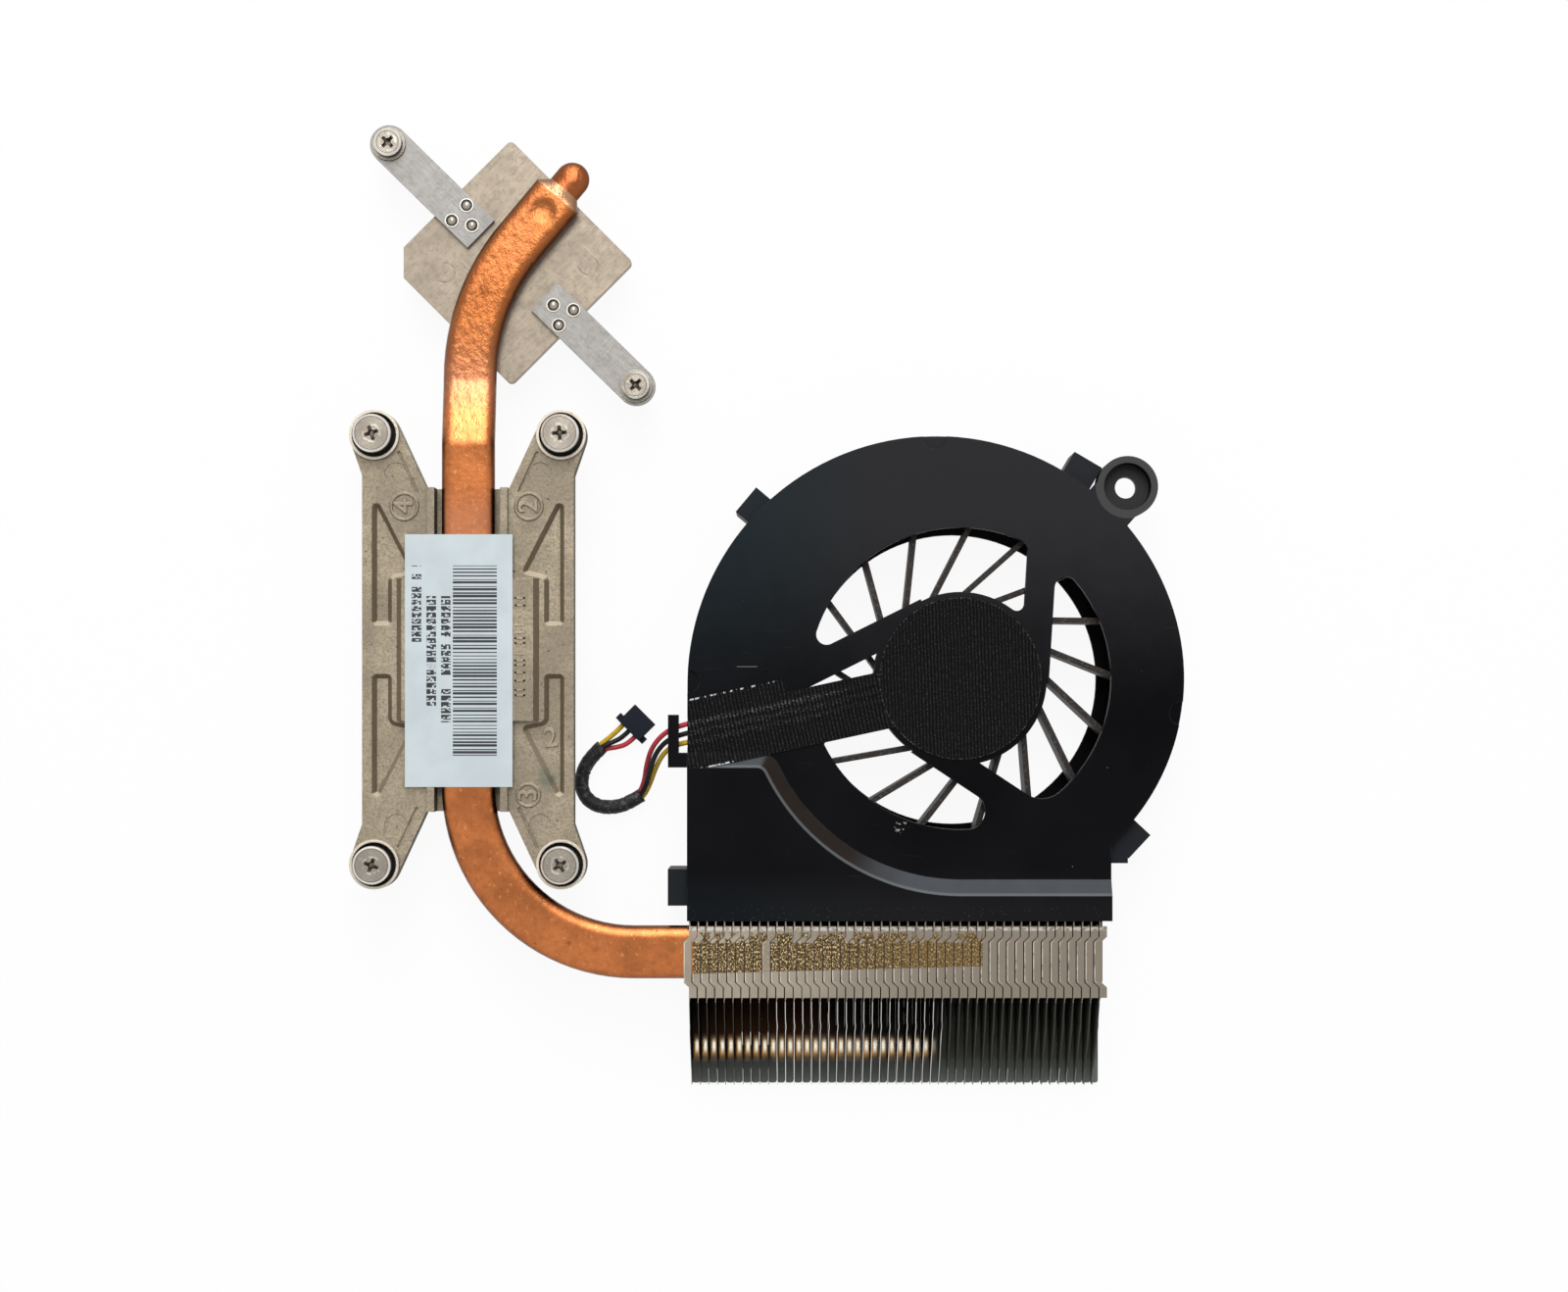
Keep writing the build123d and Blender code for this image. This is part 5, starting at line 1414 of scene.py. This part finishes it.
class COOLING_OT_bracket(ModuleOperator, bpy.types.Operator):
    """Finish the cast bracket and its label, and raise its numerals"""

    bl_idname = "cooling.bracket"
    bl_label = "Bracket and label"

    # Numeral, place in millimetres, turn in degrees and radius of the ring round it in metres.
    numerals = (
        ("4", (-9.2, 20.7, 3.6), 90, 0.0019),
        ("2", (8.8, 20.7, 3.6), 90, 0.0019),
        ("3", (8.7, -21.0, 3.6), 90, 0.0016),
        ("2", (11.9, -12.8, 2.8), 8, 0),
    )

    # Raised marks on the right pad, in millimetres: the place along it, and the width of a frame or a bar.
    marks = (
        (6.9, 1.3), (3.6, 0.3), (2.5, 0.3), (1.3, 0.9),
        (-0.6, 0.3), (-1.9, 0.9), (-3.9, 1.4), (-6.2, 1.0),
    )
    mark_x = (6.85, 8.35)
    mark_z = (4.46, 4.62)
    mark_wide = 0.26

    def mark(self, place, across):
        """Bars of one mark: four round an open middle, or one where it is narrow."""
        left, right = self.mark_x
        near, far = place - across / 2, place + across / 2
        wide = self.mark_wide
        boxes = [(left, right, near, near + wide)]
        if across > 2 * wide:
            boxes.append((left, right, far - wide, far))
            boxes += [(x, x + wide, near, far) for x in (left, right - wide)]
        return [
            [[(x0, y0, z), (x1, y0, z), (x1, y1, z), (x0, y1, z)] for z in self.mark_z]
            for x0, x1, y0, y1 in boxes
        ]

    def execute(self, context):
        colours, sizes = self.settings(context)
        dress(cast_metal("cast_alloy", colours.cast), "cpu_bracket")
        # Numerals and pad marks are painted lighter than the bracket, as a painted highlight on their raised
        # tops.
        raised = cast_metal("cast_numeral", tint(colours.cast, 1.22))
        dress(printed_paper(colours.paper, colours.ink), "label")
        bars = [bar for place, across in self.marks for bar in self.mark(place, across)]
        keep(link("pad_marks", capped_bars("pad_marks", bars), raised), "module")
        for number, (text, place, turn, ring) in enumerate(self.numerals, start=1):
            mesh = numeral_mesh(f"numeral_{number}", text, sizes.numeral, sizes.relief, ring)
            turned = Matrix.Rotation(math.radians(turn), 4, "Z")
            mesh.transform(Matrix.Translation(Vector(place) * MM) @ turned)
            keep(link(f"numeral_{number}", mesh, raised), "module")
        return {"FINISHED"}


class COOLING_OT_screws(ModuleOperator, bpy.types.Operator):
    """Finish the captive screws with their springs and rings, and cut their threads"""

    bl_idname = "cooling.screws"
    bl_label = "Screws"

    # Radius of the shank and end of its thread in metres, radii of the face and the recess in millimetres.
    cpu = {"radius": 0.00125, "threaded": 0.0044, "face": 2.45, "recess": 1.1}
    gpu = {"radius": 0.001, "threaded": 0.0034, "face": 1.7, "recess": 1.05}

    def execute(self, context):
        colours, sizes = self.settings(context)
        spring = plain_metal("spring_wire", colours.nickel, 0.25)
        for number in range(1, 5):
            self.screw(colours, sizes, f"cpu_screw_{number}", **self.cpu)
            dress(spring, f"cpu_spring_{number}", f"cpu_screw_ring_{number}")
            self.spring(sizes, spring, number)
        for end in ("upper", "lower"):
            self.screw(colours, sizes, f"gpu_screw_{end}", **self.gpu)
            dress(spring, f"gpu_screw_ring_{end}")
        return {"FINISHED"}

    @staticmethod
    def spring(sizes, finish, number):
        low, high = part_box(f"cpu_spring_{number}")
        coil = coil_mesh(f"cpu_coil_{number}", low, high, sizes.spring)
        piece = keep(link(f"cpu_coil_{number}", coil, finish), "module")
        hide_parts(f"cpu_spring_{number}")
        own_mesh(piece)

    @staticmethod
    def screw(colours, sizes, name, radius, threaded, face, recess):
        low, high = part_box(name)
        centre = ((low.x + high.x) / 2, (low.y + high.y) / 2)
        middle = (centre[0] / MM, centre[1] / MM)
        finish = turned_nickel(name + "_nickel", colours.nickel, middle, face, recess, high.z / MM)
        dress(finish, name)
        start, end = low.z + THREAD_START, low.z + threaded
        ridge = thread_ridge(name + "_thread", centre, radius, start, end, sizes.pitch, sizes.ridge)
        keep(link(name + "_thread", ridge, finish), name)


class COOLING_OT_plate(ModuleOperator, bpy.types.Operator):
    """Finish the graphics plate, its leaf arms and their rivets"""

    bl_idname = "cooling.plate"
    bl_label = "Graphics plate"

    def execute(self, context):
        colours, _ = self.settings(context)
        # The plate's edges get painted shade and the arms' edges a painted highlight.
        dress(plated_sheet("plate_sheet", colours.plate, PLATE_GRAIN_TURN, 0.80, 0.4), "gpu_plate")
        arms = plated_sheet("leaf_sheet", colours.leaf, LEAF_GRAIN_TURN, 0.9, 1.7)
        dress(arms, "gpu_arm_upper", "gpu_arm_lower")
        dress(rivet_metal(colours.nickel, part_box("gpu_arm_upper")[1].z / MM), "arm_rivets")
        return {"FINISHED"}


class COOLING_PT_module(bpy.types.Panel):
    """Pieces and settings of the cooling module"""

    bl_idname = "COOLING_PT_module"
    bl_label = "Cooling module"
    bl_space_type = "VIEW_3D"
    bl_region_type = "UI"
    bl_category = "Cooling module"

    def draw(self, context):
        for operator in OPERATORS:
            self.layout.operator(operator.bl_idname)
        for group in (context.scene.cooling_colours, context.scene.cooling_sizes):
            for name in group.__annotations__:
                self.layout.prop(group, name)


OPERATORS = (
    COOLING_OT_stage,
    COOLING_OT_lead,
    COOLING_OT_fan,
    COOLING_OT_pipe,
    COOLING_OT_bracket,
    COOLING_OT_screws,
    COOLING_OT_plate,
)
CLASSES = (CoolingColours, CoolingSizes, *OPERATORS, COOLING_PT_module)


def register():
    for kind in CLASSES:
        bpy.utils.register_class(kind)
    bpy.types.Scene.cooling_colours = PointerProperty(type=CoolingColours)
    bpy.types.Scene.cooling_sizes = PointerProperty(type=CoolingSizes)


def unregister():
    del bpy.types.Scene.cooling_sizes
    del bpy.types.Scene.cooling_colours
    for kind in reversed(CLASSES):
        bpy.utils.unregister_class(kind)


def main():
    register()
    bpy.ops.cooling.stage()
    bpy.ops.cooling.lead()
    bpy.ops.cooling.fan()
    bpy.ops.cooling.pipe()
    bpy.ops.cooling.bracket()
    bpy.ops.cooling.screws()
    bpy.ops.cooling.plate()


if __name__ == "__main__":
    main()
